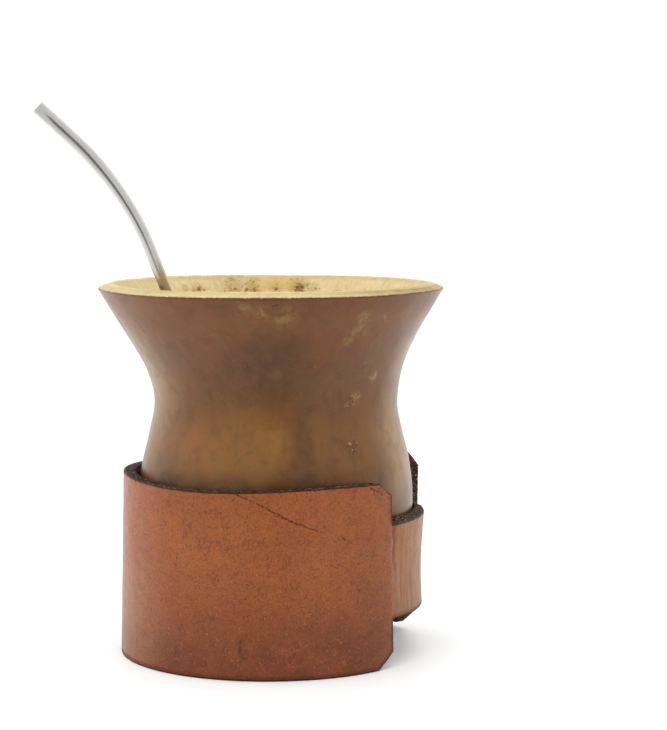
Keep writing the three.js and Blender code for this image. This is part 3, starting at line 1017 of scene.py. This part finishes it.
def wobbling(tree, vector, size, amount):
    """The same places, pushed a little to and fro, so that a drawn line isn't straight."""
    push = noise_node(tree, vector, 1.0 / size, 3.0).outputs["Color"]
    centred = vector_node(tree, "SUBTRACT", push, (0.5, 0.5, 0.5)).outputs[0]
    push = stretched_vector(tree, centred, amount)
    return vector_node(tree, "ADD", vector, push).outputs[0]


# %% [markdown]
# ### Gourd skin and pith
# The skin is a thin, smoked shell: golden low down, purple-brown above, with cloudy patches, small
# pale flecks and a dull shine. Some patches are painted light: a pale sheen on both flanks, and
# painted shade just above the leather. Where the saw cut it, the wall is pale straw-coloured wood,
# flecked and rough, with a painted highlight along the lip's inner edge and painted shade in the
# holes of the tufts. One material holds both, and a number kept on the mesh says which part is cut.

# %% Skin colours by height, with clouds, blotches and small scars, and painted sheen and shade
SKIN_TOP, WAIST_RADIUS = 107.0, 37.0
# Skin colours up the height. The dark band at 0.47 is painted shade: it darkens the skin just above
# the leather's top, where the ring shades it.
SKIN_BANDS_AND_SHADE = [
    (0.00, colour(103, 64, 31)), (0.47, colour(74, 45, 21)), (0.53, colour(106, 70, 34)),
    (0.60, colour(116, 76, 38)), (0.74, colour(110, 72, 39)), (0.83, colour(108, 70, 42)),
    (0.93, colour(120, 75, 40)), (1.00, colour(110, 68, 35)),
]
SKIN_CLOUDS_AND_PAINTED_LIGHT = [
    # angle and height of the middle, radius, how much flatter than wide, colour, strength
    (-99, 64.5, 22.0, 1.35, colour(146, 100, 48), 0.55),
    (-124, 62.5, 15.0, 1.2, colour(146, 95, 45), 0.60),
    (-78.5, 64.0, 4.8, 0.33, colour(76, 44, 20), 0.62),
    (-91.5, 65.0, 3.2, 0.42, colour(160, 112, 66), 0.34),
    (-87, 87.0, 17.0, 0.95, colour(81, 54, 38), 0.65),
    (-108, 84.0, 10.0, 1.0, colour(92, 60, 43), 0.45),
    (-66, 92.0, 13.0, 0.8, colour(120, 68, 38), 0.55),
    (-118, 94.0, 12.0, 0.9, colour(131, 82, 50), 0.50),
    (-101, 99.0, 7.0, 1.2, colour(124, 82, 40), 0.45),
    (-60, 64.0, 12.0, 1.1, colour(116, 76, 38), 0.50),
    (-83, 74.5, 14.0, 2.4, colour(92, 56, 30), 0.22),
    (-135, 84.0, 9.0, 0.7, colour(128, 82, 50), 0.40),
    (-89.0, 84.7, 2.6, 0.8, colour(126, 98, 68), 0.36),
    (70, 66.0, 24.0, 1.6, colour(141, 93, 43), 0.60),
    (110, 88.0, 18.0, 1.0, colour(86, 56, 38), 0.55),
    (20, 90.0, 14.0, 0.8, colour(120, 70, 40), 0.45),
    (-62, 84.0, 9.0, 1.1, colour(112, 78, 56), 0.45),
    # Painted light: the next three pale, yellowish patches are sheen painted on the left and right
    # flanks.
    (-160, 82.0, 18.0, 0.6, colour(164, 132, 84), 0.55),
    (-22, 60.0, 16.0, 0.6, colour(158, 126, 84), 0.70),
    (-16, 90.0, 12.0, 0.7, colour(164, 138, 108), 0.55),
    (-100, 88.0, 9.0, 1.0, colour(80, 54, 42), 0.50),
    # Painted shade: this dark patch darkens the skin just above the front of the leather.
    (-79.0, 57.0, 6.0, 0.7, colour(66, 40, 19), 0.55),
    (175, 80.0, 16.0, 1.0, colour(98, 62, 38), 0.45),
]
SKIN_BLOTCHES = [
    # angle and height of the middle, and radius
    (-98.4, 103.4, 3.6), (-93.0, 102.3, 4.2), (-85.4, 100.9, 5.0), (-56.3, 100.3, 3.6),
    (-56.5, 96.9, 4.2), (-61.0, 93.5, 3.4), (-46.5, 100.0, 2.6), (-47.0, 87.0, 3.4),
    (-41.8, 82.7, 3.0), (-52.2, 77.1, 3.2), (64.0, 98.0, 6.0), (150.0, 95.0, 5.0),
    (98.0, 72.0, 4.0),
]
HEALED_SCARS = [
    # angle and height of the middle, reach, and the directions of its short cracks in degrees
    (-41.8, 82.2, 2.0, (62, 168)), (-51.6, 76.8, 1.7, (20, 80, 140, 250)),
    (-57.6, 75.0, 1.4, (5, 50)),
]
OPEN_SCARS = [(-55.3, 63.8, 1.7, (8, 62, 118, 176, 238, 296)), (-54.6, 63.0, 1.2, (20, 255, 310))]


def on_skin(angle, height):
    """A place on the skin in millimetres."""
    radius = float(np.interp(height, outer_rows[:, 1], outer_rows[:, 0]))
    turn = math.radians(angle)
    return (radius * math.cos(turn) + float(middle_shift(height)), radius * math.sin(turn), height)


def scar_mask(tree, where, scars, width):
    """Short cracks that run out from the middle of each scar."""
    cracks = []
    for angle, height, reach, directions in scars:
        for direction in directions:
            run = math.radians(direction)
            turn = math.degrees(reach * math.cos(run) / WAIST_RADIUS)
            end = on_skin(angle + turn, height + reach * math.sin(run))
            cracks.append(line(tree, where, on_skin(angle, height), end, width))
    return strongest(tree, cracks)


def gourd_skin_colour(tree, where):
    height = add(tree, "ShaderNodeSeparateXYZ", {0: where}).outputs["Z"]
    drift = noise_node(tree, where, 1 / 24, 2.0).outputs["Fac"]
    wander = spread(tree, drift, 0.3, 0.7, -4.0, 4.0)
    banded = number_node(tree, "DIVIDE", number_node(tree, "ADD", height, wander), SKIN_TOP)
    base = ramp(tree, banded, SKIN_BANDS_AND_SHADE)
    warped = wobbling(tree, where, 9.0, 7.0)
    # Patches of colour; a few of them are painted sheen and painted shade.
    for angle, middle, radius, flatter, tone, strength in SKIN_CLOUDS_AND_PAINTED_LIGHT:
        cloud_and_light = spot(tree, warped if radius > 3 else where, on_skin(angle, middle), radius,
                     (1.0, 1.0, flatter))
        base = blend(tree, scaled(tree, cloud_and_light, strength), base, tone)
    warm = mottle(tree, where, 7.0, 4.0, 0.42, 0.68, 0.5)
    base = tinted(tree, base, warm, 0.30, (124, 78, 46))
    dark = mottle(tree, where, 5.5, 5.0, 0.48, 0.72, 0.7)
    base = tinted(tree, base, dark, 0.30, (72, 44, 28))
    olive = mottle(tree, where, 4.2, 4.0, 0.46, 0.66, 0.8)
    base = tinted(tree, base, olive, 0.26, (104, 84, 46))
    streaks = mottle(tree, millimetres(tree, (1, 1, 0.14)), 2.2, 4.0, 0.45, 0.75)
    base = tinted(tree, base, streaks, 0.16, (70, 44, 28))
    broken = mottle(tree, where, 2.6, 5.0, 0.34, 0.66, 0.9)
    ragged = wobbling(tree, where, 3.5, 4.0)
    blotches = strongest(tree, [spot(tree, ragged, on_skin(a, h), r) for a, h, r in SKIN_BLOTCHES])
    blotches = scaled(tree, blotches, broken)
    base = tinted(tree, base, blotches, 0.62, (152, 120, 70))
    flecks = mottle(tree, where, 0.8, 2.0, 0.65, 0.73)
    base = tinted(tree, base, flecks, 0.30, (146, 108, 66))
    cracked = wobbling(tree, where, 0.8, 1.6)
    healed = scar_mask(tree, cracked, HEALED_SCARS, 0.5)
    base = tinted(tree, base, healed, 0.24, (172, 140, 100))
    fringe = strongest(tree, [
        spot(tree, cracked, on_skin(-56.2, 64.4), 0.6),
        spot(tree, cracked, on_skin(-55.6, 62.8), 0.5),
    ])
    base = tinted(tree, base, fringe, 0.75, (190, 152, 108))
    opened = scar_mask(tree, cracked, OPEN_SCARS, 0.34)
    base = tinted(tree, base, opened, 0.62, (62, 36, 20))
    scratch = line(tree, cracked, on_skin(-115.1, 95.2), on_skin(-109.5, 96.5), 0.3)
    base = tinted(tree, base, scratch, 0.16, (170, 140, 112))
    ticks = strongest(tree, [
        line(tree, cracked, on_skin(-146.0, 97.4), on_skin(-144.2, 95.6), 0.45),
        line(tree, cracked, on_skin(-89.4, 104.2), on_skin(-88.2, 104.5), 0.5),
    ])
    return tinted(tree, base, ticks, 0.75, (60, 38, 26))


# %% Pith colours
def pith_colour(tree, where):
    axes = add(tree, "ShaderNodeSeparateXYZ", {0: where})
    height = axes.outputs["Z"]
    base = colour(222, 203, 156)
    top = spread(tree, height, 106.2, 107.5)
    side_light = spread(tree, number_node(tree, "ABSOLUTE", axes.outputs["X"]), 28.0, 46.0)
    base = tinted(tree, base, side_light, 0.6, (198, 190, 152))
    base = blend(tree, top, base, colour(200, 184, 142))
    # The top of the lip is darker towards the right front of the mouth.
    darker_right_lip = spot(tree, wobbling(tree, where, 9.0, 8.0), (38.0, -28.0, 107.5), 38.0)
    darker_right_lip = scaled(tree, darker_right_lip, top)
    base = tinted(tree, base, darker_right_lip, 0.9, (144, 120, 80))
    # Painted highlight: the inner edge along the top of the lip is made paler, as if catching the
    # light.
    lip_ridge_highlight = spread(tree, height, 107.6, 107.95)
    base = tinted(tree, base, lip_ridge_highlight, 0.45, (232, 220, 182))
    worn = scaled(tree, top, mottle(tree, where, 2.4, 4.0, 0.42, 0.62))
    base = tinted(tree, base, worn, 0.4, (180, 156, 112))
    patches = mottle(tree, where, 6.0, 3.0, 0.4, 0.7)
    base = tinted(tree, base, patches, 0.35, (212, 184, 124))
    golden = spot(tree, wobbling(tree, where, 5.0, 6.0), on_wall(88.0, 104.5), 13.0)
    base = tinted(tree, base, golden, 0.6, (214, 184, 114))
    grain = mottle(tree, millimetres(tree, (1, 1, 0.25)), 1.0, 4.0, 0.45, 0.7)
    base = tinted(tree, base, grain, 0.30, (188, 154, 98))
    dots = mottle(tree, where, 0.6, 2.0, 0.66, 0.72)
    base = tinted(tree, base, dots, 0.5, (150, 118, 74))
    ragged = wobbling(tree, where, 1.6, 2.6)
    tufts = strongest(tree, [
        scaled(tree, spot(tree, ragged, on_wall(a, h), r), thick) for a, h, r, thick in TUFTS
    ])
    base = tinted(tree, base, tufts, 0.62, (174, 142, 76))
    # Painted shade: dark holes among the tufts, darkened as if shaded.
    holes = mottle(tree, millimetres(tree, (0.8, 0.8, 1.2)), 1.2, 3.0, 0.54, 0.64, 0.8)
    holes = scaled(tree, holes, tufts)
    base = tinted(tree, base, holes, 0.75, (104, 78, 34))
    torn = wobbling(tree, where, 0.9, 1.4)
    # Painted shade in the pits listed above.
    pits = strongest(tree, [spot(tree, torn, on_wall(a, h), r) for a, h, r in PITS])
    return tinted(tree, base, pits, 0.9, (96, 62, 12))


# %% Gourd material
def gourd_material():
    material, tree, shader = new_material("gourd finish")
    where = millimetres(tree)
    height = add(tree, "ShaderNodeSeparateXYZ", {0: where}).outputs["Z"]
    skin = gourd_skin_colour(tree, where)
    deep = spread(tree, height, 60.0, 104.0, 0.75, 0.0)
    pith = blend(tree, deep, pith_colour(tree, where), colour(150, 112, 68))
    ragged = scaled(tree, mottle(tree, where, 0.7, 2.0, 0.35, 0.65), 0.35)
    sharp = spread(tree, number_node(tree, "ADD", stored(tree, "cut"), ragged), 0.45, 0.75)
    base = blend(tree, sharp, skin, pith)
    speckled = spread(tree, mottle(tree, where, 0.9, 3.0, 0.36, 0.56), 0.0, 1.0, 0.15, 1.0)
    base = tinted(tree, base, scaled(tree, stored(tree, "rim"), speckled), 0.9, (92, 56, 24))
    uncut = number_node(tree, "SUBTRACT", 1.0, sharp)
    dull = spread(tree, mottle(tree, where, 6.0, 4.0, 0.3, 0.7), 0.0, 1.0, 0.36, 0.46)
    skin_rough, pith_rough = scaled(tree, dull, uncut), scaled(tree, sharp, 0.85)
    fine = noise_node(tree, where, 2.2, 6.0, 0.65).outputs["Fac"]
    slow = noise_node(tree, where, 0.25, 3.0).outputs["Fac"]
    skin_height = number_node(tree, "ADD", scaled(tree, fine, 0.05), scaled(tree, slow, 0.5))
    pith_height = scaled(tree, scaled(tree, fine, 0.8), sharp)
    dress(tree, shader, {
        "Base Color": base,
        "Roughness": number_node(tree, "ADD", skin_rough, pith_rough),
        "Specular IOR Level": 0.17,
        "Coat Weight": scaled(tree, uncut, 0.5),
        "Coat Roughness": 0.3,
        "Coat IOR": 1.25,
        "Normal": bumped(tree, number_node(tree, "ADD", skin_height, pith_height), 0.4, 0.7),
    })
    return material


gourd.data.materials.append(gourd_material())

# %% [markdown]
# ### Leather
# Saddle leather is dyed through and waxed on its grain side. Pores and short scratches run over it
# in no order, and a few long scratches cross the front. The colour is painted darker towards the
# foot, as painted shade, and the crease where the neck begins is darkened with painted shade. Cut
# edges are dark and fibrous, and painted shade darkens them further along the bottom and the sides.
# A paler patch on the left flank is a painted sheen. The grain follows the flat strip, which the
# mesh remembers.

# %% Leather colours
SCRATCHES = [
    # angle and height of both ends, and width in mm
    (-104.4, 52.4, -94.0, 48.8, 0.24), (-94.2, 48.9, -83.7, 44.6, 0.36),
    (-83.9, 44.8, -74.2, 41.8, 0.26), (-64.5, 39.4, -60.8, 37.8, 0.26),
    (-128, 31.0, -127.2, 34.5, 0.16), (-101.8, 8.0, -101.2, 11.5, 0.20),
    (-58.0, 20.0, -56.8, 24.5, 0.14), (-53.0, 52.6, -48.8, 51.2, 0.34),
    (-51.0, 51.6, -50.2, 50.2, 0.26), (-48.6, 52.4, -46.0, 50.2, 0.30),
    (-50.0, 45.5, -46.8, 44.2, 0.14), (-56.4, 33.0, -53.0, 33.6, 0.14),
    (-70.0, 32.4, -66.6, 31.2, 0.12),
]


def strip_places(tree, stretch=(1, 1)):
    along = stored(tree, "along")
    up = stored(tree, "up")
    flesh = stored(tree, "flesh")
    depth = scaled(tree, flesh, LEATHER)
    parts = [scaled(tree, along, stretch[0]), scaled(tree, up, stretch[1]), depth]
    return add(tree, "ShaderNodeCombineXYZ", dict(enumerate(parts))).outputs[0]


def on_strip(angle, height):
    return (math.radians(angle % 360) * RING_RADIUS, height, 0.0)


def scratch_mask(tree, flat):
    wobbled = wobbling(tree, flat, 2.2, 1.0)
    total = strongest(tree, [
        line(tree, wobbled, on_strip(*mark[:2]), on_strip(*mark[2:4]), mark[4])
        for mark in SCRATCHES
    ])
    broken = mottle(tree, flat, 0.8, 3.0, 0.32, 0.56)
    return scaled(tree, total, broken)


def wrinkles(tree, flat, size, width, shown_low, shown_high):
    """Thin wandering lines where a noise crosses its middle value, shown only here and there."""
    pattern = noise_node(tree, flat, 1.0 / size, 2.0, distortion=0.6).outputs["Fac"]
    away = number_node(tree, "ABSOLUTE", number_node(tree, "SUBTRACT", pattern, 0.5))
    thin = spread(tree, away, 0.0, width, 1.0, 0.0)
    return scaled(tree, thin, mottle(tree, flat, 2.0 * size, 2.0, shown_low, shown_high))


STAINS = [
    # angle and height, radius, how much flatter than wide, strength
    (-101.0, 9.0, 2.6, 0.5, 0.55), (-92.0, 6.0, 5.0, 0.8, 0.30), (-112.0, 17.5, 1.6, 1.0, 0.45),
    (-60.0, 8.0, 9.0, 1.4, 0.35), (-49.0, 12.0, 7.0, 0.7, 0.30), (-128.0, 7.0, 8.0, 0.9, 0.25),
    (-80.0, 2.0, 16.0, 3.0, 0.35), (-75.0, 14.0, 5.0, 1.3, 0.22), (-131.0, 49.0, 3.0, 1.0, 0.35),
    (-50.0, 23.0, 9.0, 0.8, 0.28), (-66.0, 12.0, 8.0, 1.0, 0.25), (-50.0, 36.0, 16.0, 0.7, 0.18),
    (-48.0, 6.0, 10.0, 0.8, 0.20),
]
BLUSHES = [
    # angle and height, radius, how much flatter than wide, strength
    (-62.0, 52.6, 9.0, 5.0, 0.8), (-104.0, 52.5, 7.0, 6.0, 0.5), (-40.5, 15.5, 3.4, 0.8, 0.9),
    (-40.0, 41.0, 3.0, 0.8, 0.8), (-85.0, 5.0, 10.0, 1.6, 0.35), (-70.0, 1.5, 8.0, 3.0, 0.5),
]


def marks(tree, where, rows):
    """Soft spots on the strip, each as strong as its row says."""
    return strongest(tree, [
        scaled(tree, spot(tree, where, on_strip(a, h), r, (1.0, flatter, 1.0)), strength)
        for a, h, r, flatter, strength in rows
    ])


def leather_material():
    material, tree, shader = new_material("leather finish")
    flat = strip_places(tree)
    up = stored(tree, "up")
    edge = stored(tree, "edge")
    flesh = stored(tree, "flesh")
    rub = stored(tree, "rub")
    # Painted shade: the colour darkens from the top down towards the foot of the strip.
    base = blend(tree, spread(tree, up, 0.0, 36.0), colour(104, 50, 22), colour(152, 85, 43))
    clouds = mottle(tree, flat, 12.0, 3.0, 0.35, 0.68, 0.4)
    base = tinted(tree, base, clouds, 0.4, (132, 70, 40))
    warped = wobbling(tree, flat, 3.0, 4.0)
    base = blend(tree, marks(tree, warped, STAINS), base, colour(74, 38, 22))
    # Painted sheen: a paler patch low on the left flank of the strip, standing in for the light it
    # catches there.
    left_flank_sheen = spot(tree, warped, on_strip(-157, 14), 26.0)
    base = tinted(tree, base, left_flank_sheen, 0.42, (160, 110, 72))
    base = tinted(tree, base, marks(tree, warped, BLUSHES), 0.5, (150, 60, 40))
    reddish = mottle(tree, flat, 4.0, 4.0, 0.48, 0.7, 0.6)
    base = tinted(tree, base, reddish, 0.35, (136, 66, 40))
    blotted = mottle(tree, strip_places(tree, (0.8, 1.1)), 1.7, 4.0, 0.5, 0.7, 0.9)
    base = tinted(tree, base, blotted, 0.38, (104, 52, 28))
    pores = mottle(tree, flat, 0.62, 3.0, 0.52, 0.66, 0.4)
    base = tinted(tree, base, pores, 0.42, (92, 44, 22))
    light_folds = wrinkles(tree, strip_places(tree, (0.9, 1.3)), 2.3, 0.030, 0.42, 0.60)
    base = tinted(tree, base, light_folds, 0.30, (168, 100, 56))
    dark_folds = wrinkles(tree, strip_places(tree, (1.1, 0.9)), 1.8, 0.026, 0.46, 0.62)
    base = tinted(tree, base, dark_folds, 0.42, (78, 38, 22))
    flecks = mottle(tree, strip_places(tree, (1.2, 0.8)), 0.55, 3.0, 0.60, 0.70, 0.5)
    base = tinted(tree, base, flecks, 0.40, (190, 120, 68))
    nicks = mottle(tree, strip_places(tree, (1.0, 0.4)), 0.8, 2.0, 0.67, 0.74, 0.8)
    base = tinted(tree, base, nicks, 0.6, (66, 32, 20))
    pulled = mottle(tree, strip_places(tree, (1.0, 0.05)), 0.7, 3.0, 0.40, 0.68)
    base = tinted(tree, base, rub, 0.5, (134, 94, 62))
    base = blend(tree, scaled(tree, pulled, scaled(tree, rub, 0.34)), base,
                 colour(172, 136, 92))
    scratches = scratch_mask(tree, flat)
    base = tinted(tree, base, scratches, 0.85, (64, 28, 16))
    crease = stored(tree, "crease")
    # Painted shade: the crease where the neck begins is darkened as if shaded.
    base = tinted(tree, base, crease, 0.8, (70, 34, 22))
    flesh_tone = mottle(tree, flat, 1.2, 4.0)
    flesh_colour = blend(tree, flesh_tone, colour(96, 72, 56), colour(132, 100, 76))
    base = blend(tree, spread(tree, flesh, 0.9, 1.0), base, flesh_colour)
    fibres_mask = mottle(tree, strip_places(tree, (0.45, 1.0)), 0.6, 4.0, 0.46, 0.66)
    cut_colour = blend(tree, fibres_mask, colour(44, 29, 23), colour(124, 101, 80))
    hem_and_shade = stored(tree, "hem_and_shade")
    # Darker near the bottom and side cut edges: partly the hem's own darker colour, partly painted
    # shade.
    base = tinted(tree, base, hem_and_shade, 0.62, (72, 36, 20))
    # A dark line along the rounded outer corner of every cut edge: partly the dark cut, partly
    # painted shade on the rounding.
    base = blend(tree, spread(tree, edge, 0.02, 0.29, 0.0, 0.92), base, colour(46, 23, 14))
    base = blend(tree, spread(tree, edge, 0.3, 0.62), base, cut_colour)
    waxed = spread(tree, mottle(tree, flat, 3.0, 4.0, 0.3, 0.7), 0.0, 1.0, 0.46, 0.58)
    worn_edge = spread(tree, number_node(tree, "ADD", edge, hem_and_shade), 0.1, 0.5)
    uncut = number_node(tree, "SUBTRACT", 1.0, worn_edge)
    grain = add(tree, "ShaderNodeTexVoronoi", {
        "Vector": wobbling(tree, flat, 1.6, 0.8), "Scale": 1.5,
    }, feature="DISTANCE_TO_EDGE")
    pebbles = scaled(tree, spread(tree, grain.outputs["Distance"], 0.0, 0.28), 0.2)
    fine = scaled(tree, noise_node(tree, flat, 3.0, 5.0, 0.6).outputs["Fac"], 0.9)
    total = number_node(tree, "ADD", pebbles, fine)
    for sunk, amount in [(scratches, 1.4), (nicks, 0.6), (dark_folds, 0.7), (crease, 1.0)]:
        total = number_node(tree, "SUBTRACT", total, scaled(tree, sunk, amount))
    raised = scaled(tree, scaled(tree, fibres_mask, edge), 2.0)
    dress(tree, shader, {
        "Base Color": base,
        "Roughness": number_node(tree, "ADD", waxed, scaled(tree, edge, 0.3)),
        "Specular IOR Level": 0.15,
        "Coat Weight": scaled(tree, uncut, spread(tree, rub, 0.0, 1.0, 0.6, 0.35)),
        "Coat Roughness": 0.32,
        "Coat IOR": 1.27,
        "Normal": bumped(tree, number_node(tree, "ADD", total, raised), 0.18, 0.85),
    })
    return material


leather.data.materials.append(leather_material())

# %% [markdown]
# ### Steel and fibres
# The tube is drawn and polished, so it mirrors the room in long bands, faintly smudged. Where it
# leaves the cup it is painted warm brown, a painted reflection of the lip. The fibres are the same
# dry stuff as the pith, a little darker.

# %% Steel and fibre materials
def steel_material():
    material, tree, shader = new_material("steel finish")
    where = millimetres(tree)
    smudge = scaled(tree, mottle(tree, where, 5.0, 4.0, 0.4, 0.7), 0.3)
    base = blend(tree, smudge, colour(194, 193, 190), colour(176, 174, 168))
    # Painted reflection: a warm brown patch on the tube where it leaves the cup, standing in for the
    # lip mirrored in the steel.
    lip_reflection = spot(tree, wobbling(tree, where, 4.0, 3.0), tuple(STRAW_AT_LIP + stem), 11.0)
    fine = noise_node(tree, where, 3.0, 4.0).outputs["Fac"]
    dress(tree, shader, {
        "Base Color": tinted(tree, base, lip_reflection, 0.6, (158, 138, 104)),
        "Metallic": 1.0,
        "Roughness": spread(tree, fine, 0.3, 0.7, 0.20, 0.28),
        "Normal": bumped(tree, fine, 0.004, 0.3),
    })
    return material


def fibre_material():
    material, tree, shader = new_material("fibre finish")
    tone = mottle(tree, millimetres(tree), 2.0, 2.0, 0.4, 0.6)
    base = blend(tree, tone, colour(166, 124, 68), colour(218, 192, 134))
    dress(tree, shader, {"Base Color": base, "Roughness": 0.8})
    return material


straw.data.materials.clear()
straw.data.materials.append(steel_material())

# %% Grow the tufts on their patch
applied(tufts, tuft_tree(), {
    "Density": 5.0e6, "Length": 0.6 * MM, "Thickness": 0.05 * MM, "Crumb size": 0.36 * MM,
    "Seed": 7, "Finish": fibre_material(),
})
print("faces of the tufts:", len(tufts.data.polygons))

# %% [markdown]
# ## Ride and replace
# Nothing here moves by itself, so every piece rides on the one body. The modelled gourd, leather
# and straw stand for their solids, and the fibres belong to the gourd.

# %% Ride and replace
for piece, node, slot in [
    (gourd, "gourd", "gourd"), (leather, "leather_ring", "leather"), (straw, "straw", "steel"),
]:
    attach(piece, "root")
    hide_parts(node)
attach(tufts, "root")

# %% [markdown]
# ## Floor and light
# A white table runs out of sight, and large soft lights stand to the left, to the right and above,
# so both flanks of the gourd catch a pale sheen and the front stays darker. The room is bright
# behind the cup and to its sides. Only a narrow patch in front is dark, and a polished tube shows
# it as one thin dark line.

# %% Floor
FLOOR_HALF = 1500.0
FLOOR_MIDDLE = (0.0, 150.0, 0.0)
FLOOR_FADE = (235.0, 340.0)
FLOOR_WHITE, FLOOR_GLOW = (0.92, 0.92, 0.92, 1.0), 0.05
corners = [(-1, -1, 0), (1, -1, 0), (1, 1, 0), (-1, 1, 0)]
floor = mesh_piece("floor", np.array(corners, float) * FLOOR_HALF, [(0, 1, 2, 3)])
floor_material, floor_tree, floor_shader = new_material("floor")
from_middle = vector_node(floor_tree, "DISTANCE", millimetres(floor_tree), FLOOR_MIDDLE)
dress(floor_tree, floor_shader, {
    "Base Color": FLOOR_WHITE, "Roughness": 0.6,
    "Emission Color": (1.0, 1.0, 1.0, 1.0), "Emission Strength": FLOOR_GLOW,
    "Alpha": spread(floor_tree, from_middle.outputs["Value"], *FLOOR_FADE, 1.0, 0.0),
})
floor.data.materials.append(floor_material)

# %% Room and lights
ROOM_FRONT, ROOM_SIDES, ROOM_BACK, SEEN_WHITE = 0.18, 1.0, 1.3, 1.05
LIGHTS_AIM_AT = (0.0, 0.0, 0.06)
world = bpy.data.worlds.new("room")
bpy.context.scene.world = world
world.use_nodes = True
room = world.node_tree
background = room.nodes["Background"]
direction = add(room, "ShaderNodeTexCoord")
axes = add(room, "ShaderNodeSeparateXYZ", {0: direction.outputs["Generated"]})
to_the_side = spread(room, number_node(room, "ABSOLUTE", axes.outputs["X"]), 0.1, 0.45)
above = spread(room, axes.outputs["Z"], 0.15, 0.5)
open_front = number_node(room, "MAXIMUM", to_the_side, above)
front = spread(room, open_front, 0.0, 1.0, ROOM_FRONT, ROOM_SIDES)
brightness = spread(room, axes.outputs["Y"], -0.3, 0.6, front, ROOM_BACK)
shade = add(room, "ShaderNodeCombineXYZ", {0: brightness, 1: brightness, 2: brightness})
seen = add(room, "ShaderNodeLightPath")
white = blend(room, seen.outputs["Is Camera Ray"], shade.outputs[0], (SEEN_WHITE,) * 3 + (1.0,))
room.links.new(white, background.inputs["Color"])


def soft_light(name, place, size, power):
    """A soft box that lights without being mirrored: the room makes the reflections."""
    data = bpy.data.lights.new(name, "AREA")
    data.shape = "RECTANGLE"
    data.size, data.size_y = size
    data.energy = power
    light = bpy.data.objects.new(name, data)
    light.location = place
    aim = Vector(LIGHTS_AIM_AT) - Vector(place)
    light.rotation_euler = aim.to_track_quat("-Z", "Y").to_euler()
    light.visible_glossy = False
    bpy.context.collection.objects.link(light)


soft_light("top soft box", (-0.1, -0.72, 1.2), (1.2, 1.2), 6.0)
soft_light("left soft box", (-1.0, 0.3, 0.35), (0.9, 0.9), 4.4)
soft_light("right soft box", (1.0, 0.3, 0.35), (0.9, 0.9), 2.4)
bpy.context.scene.view_settings.view_transform = "Standard"
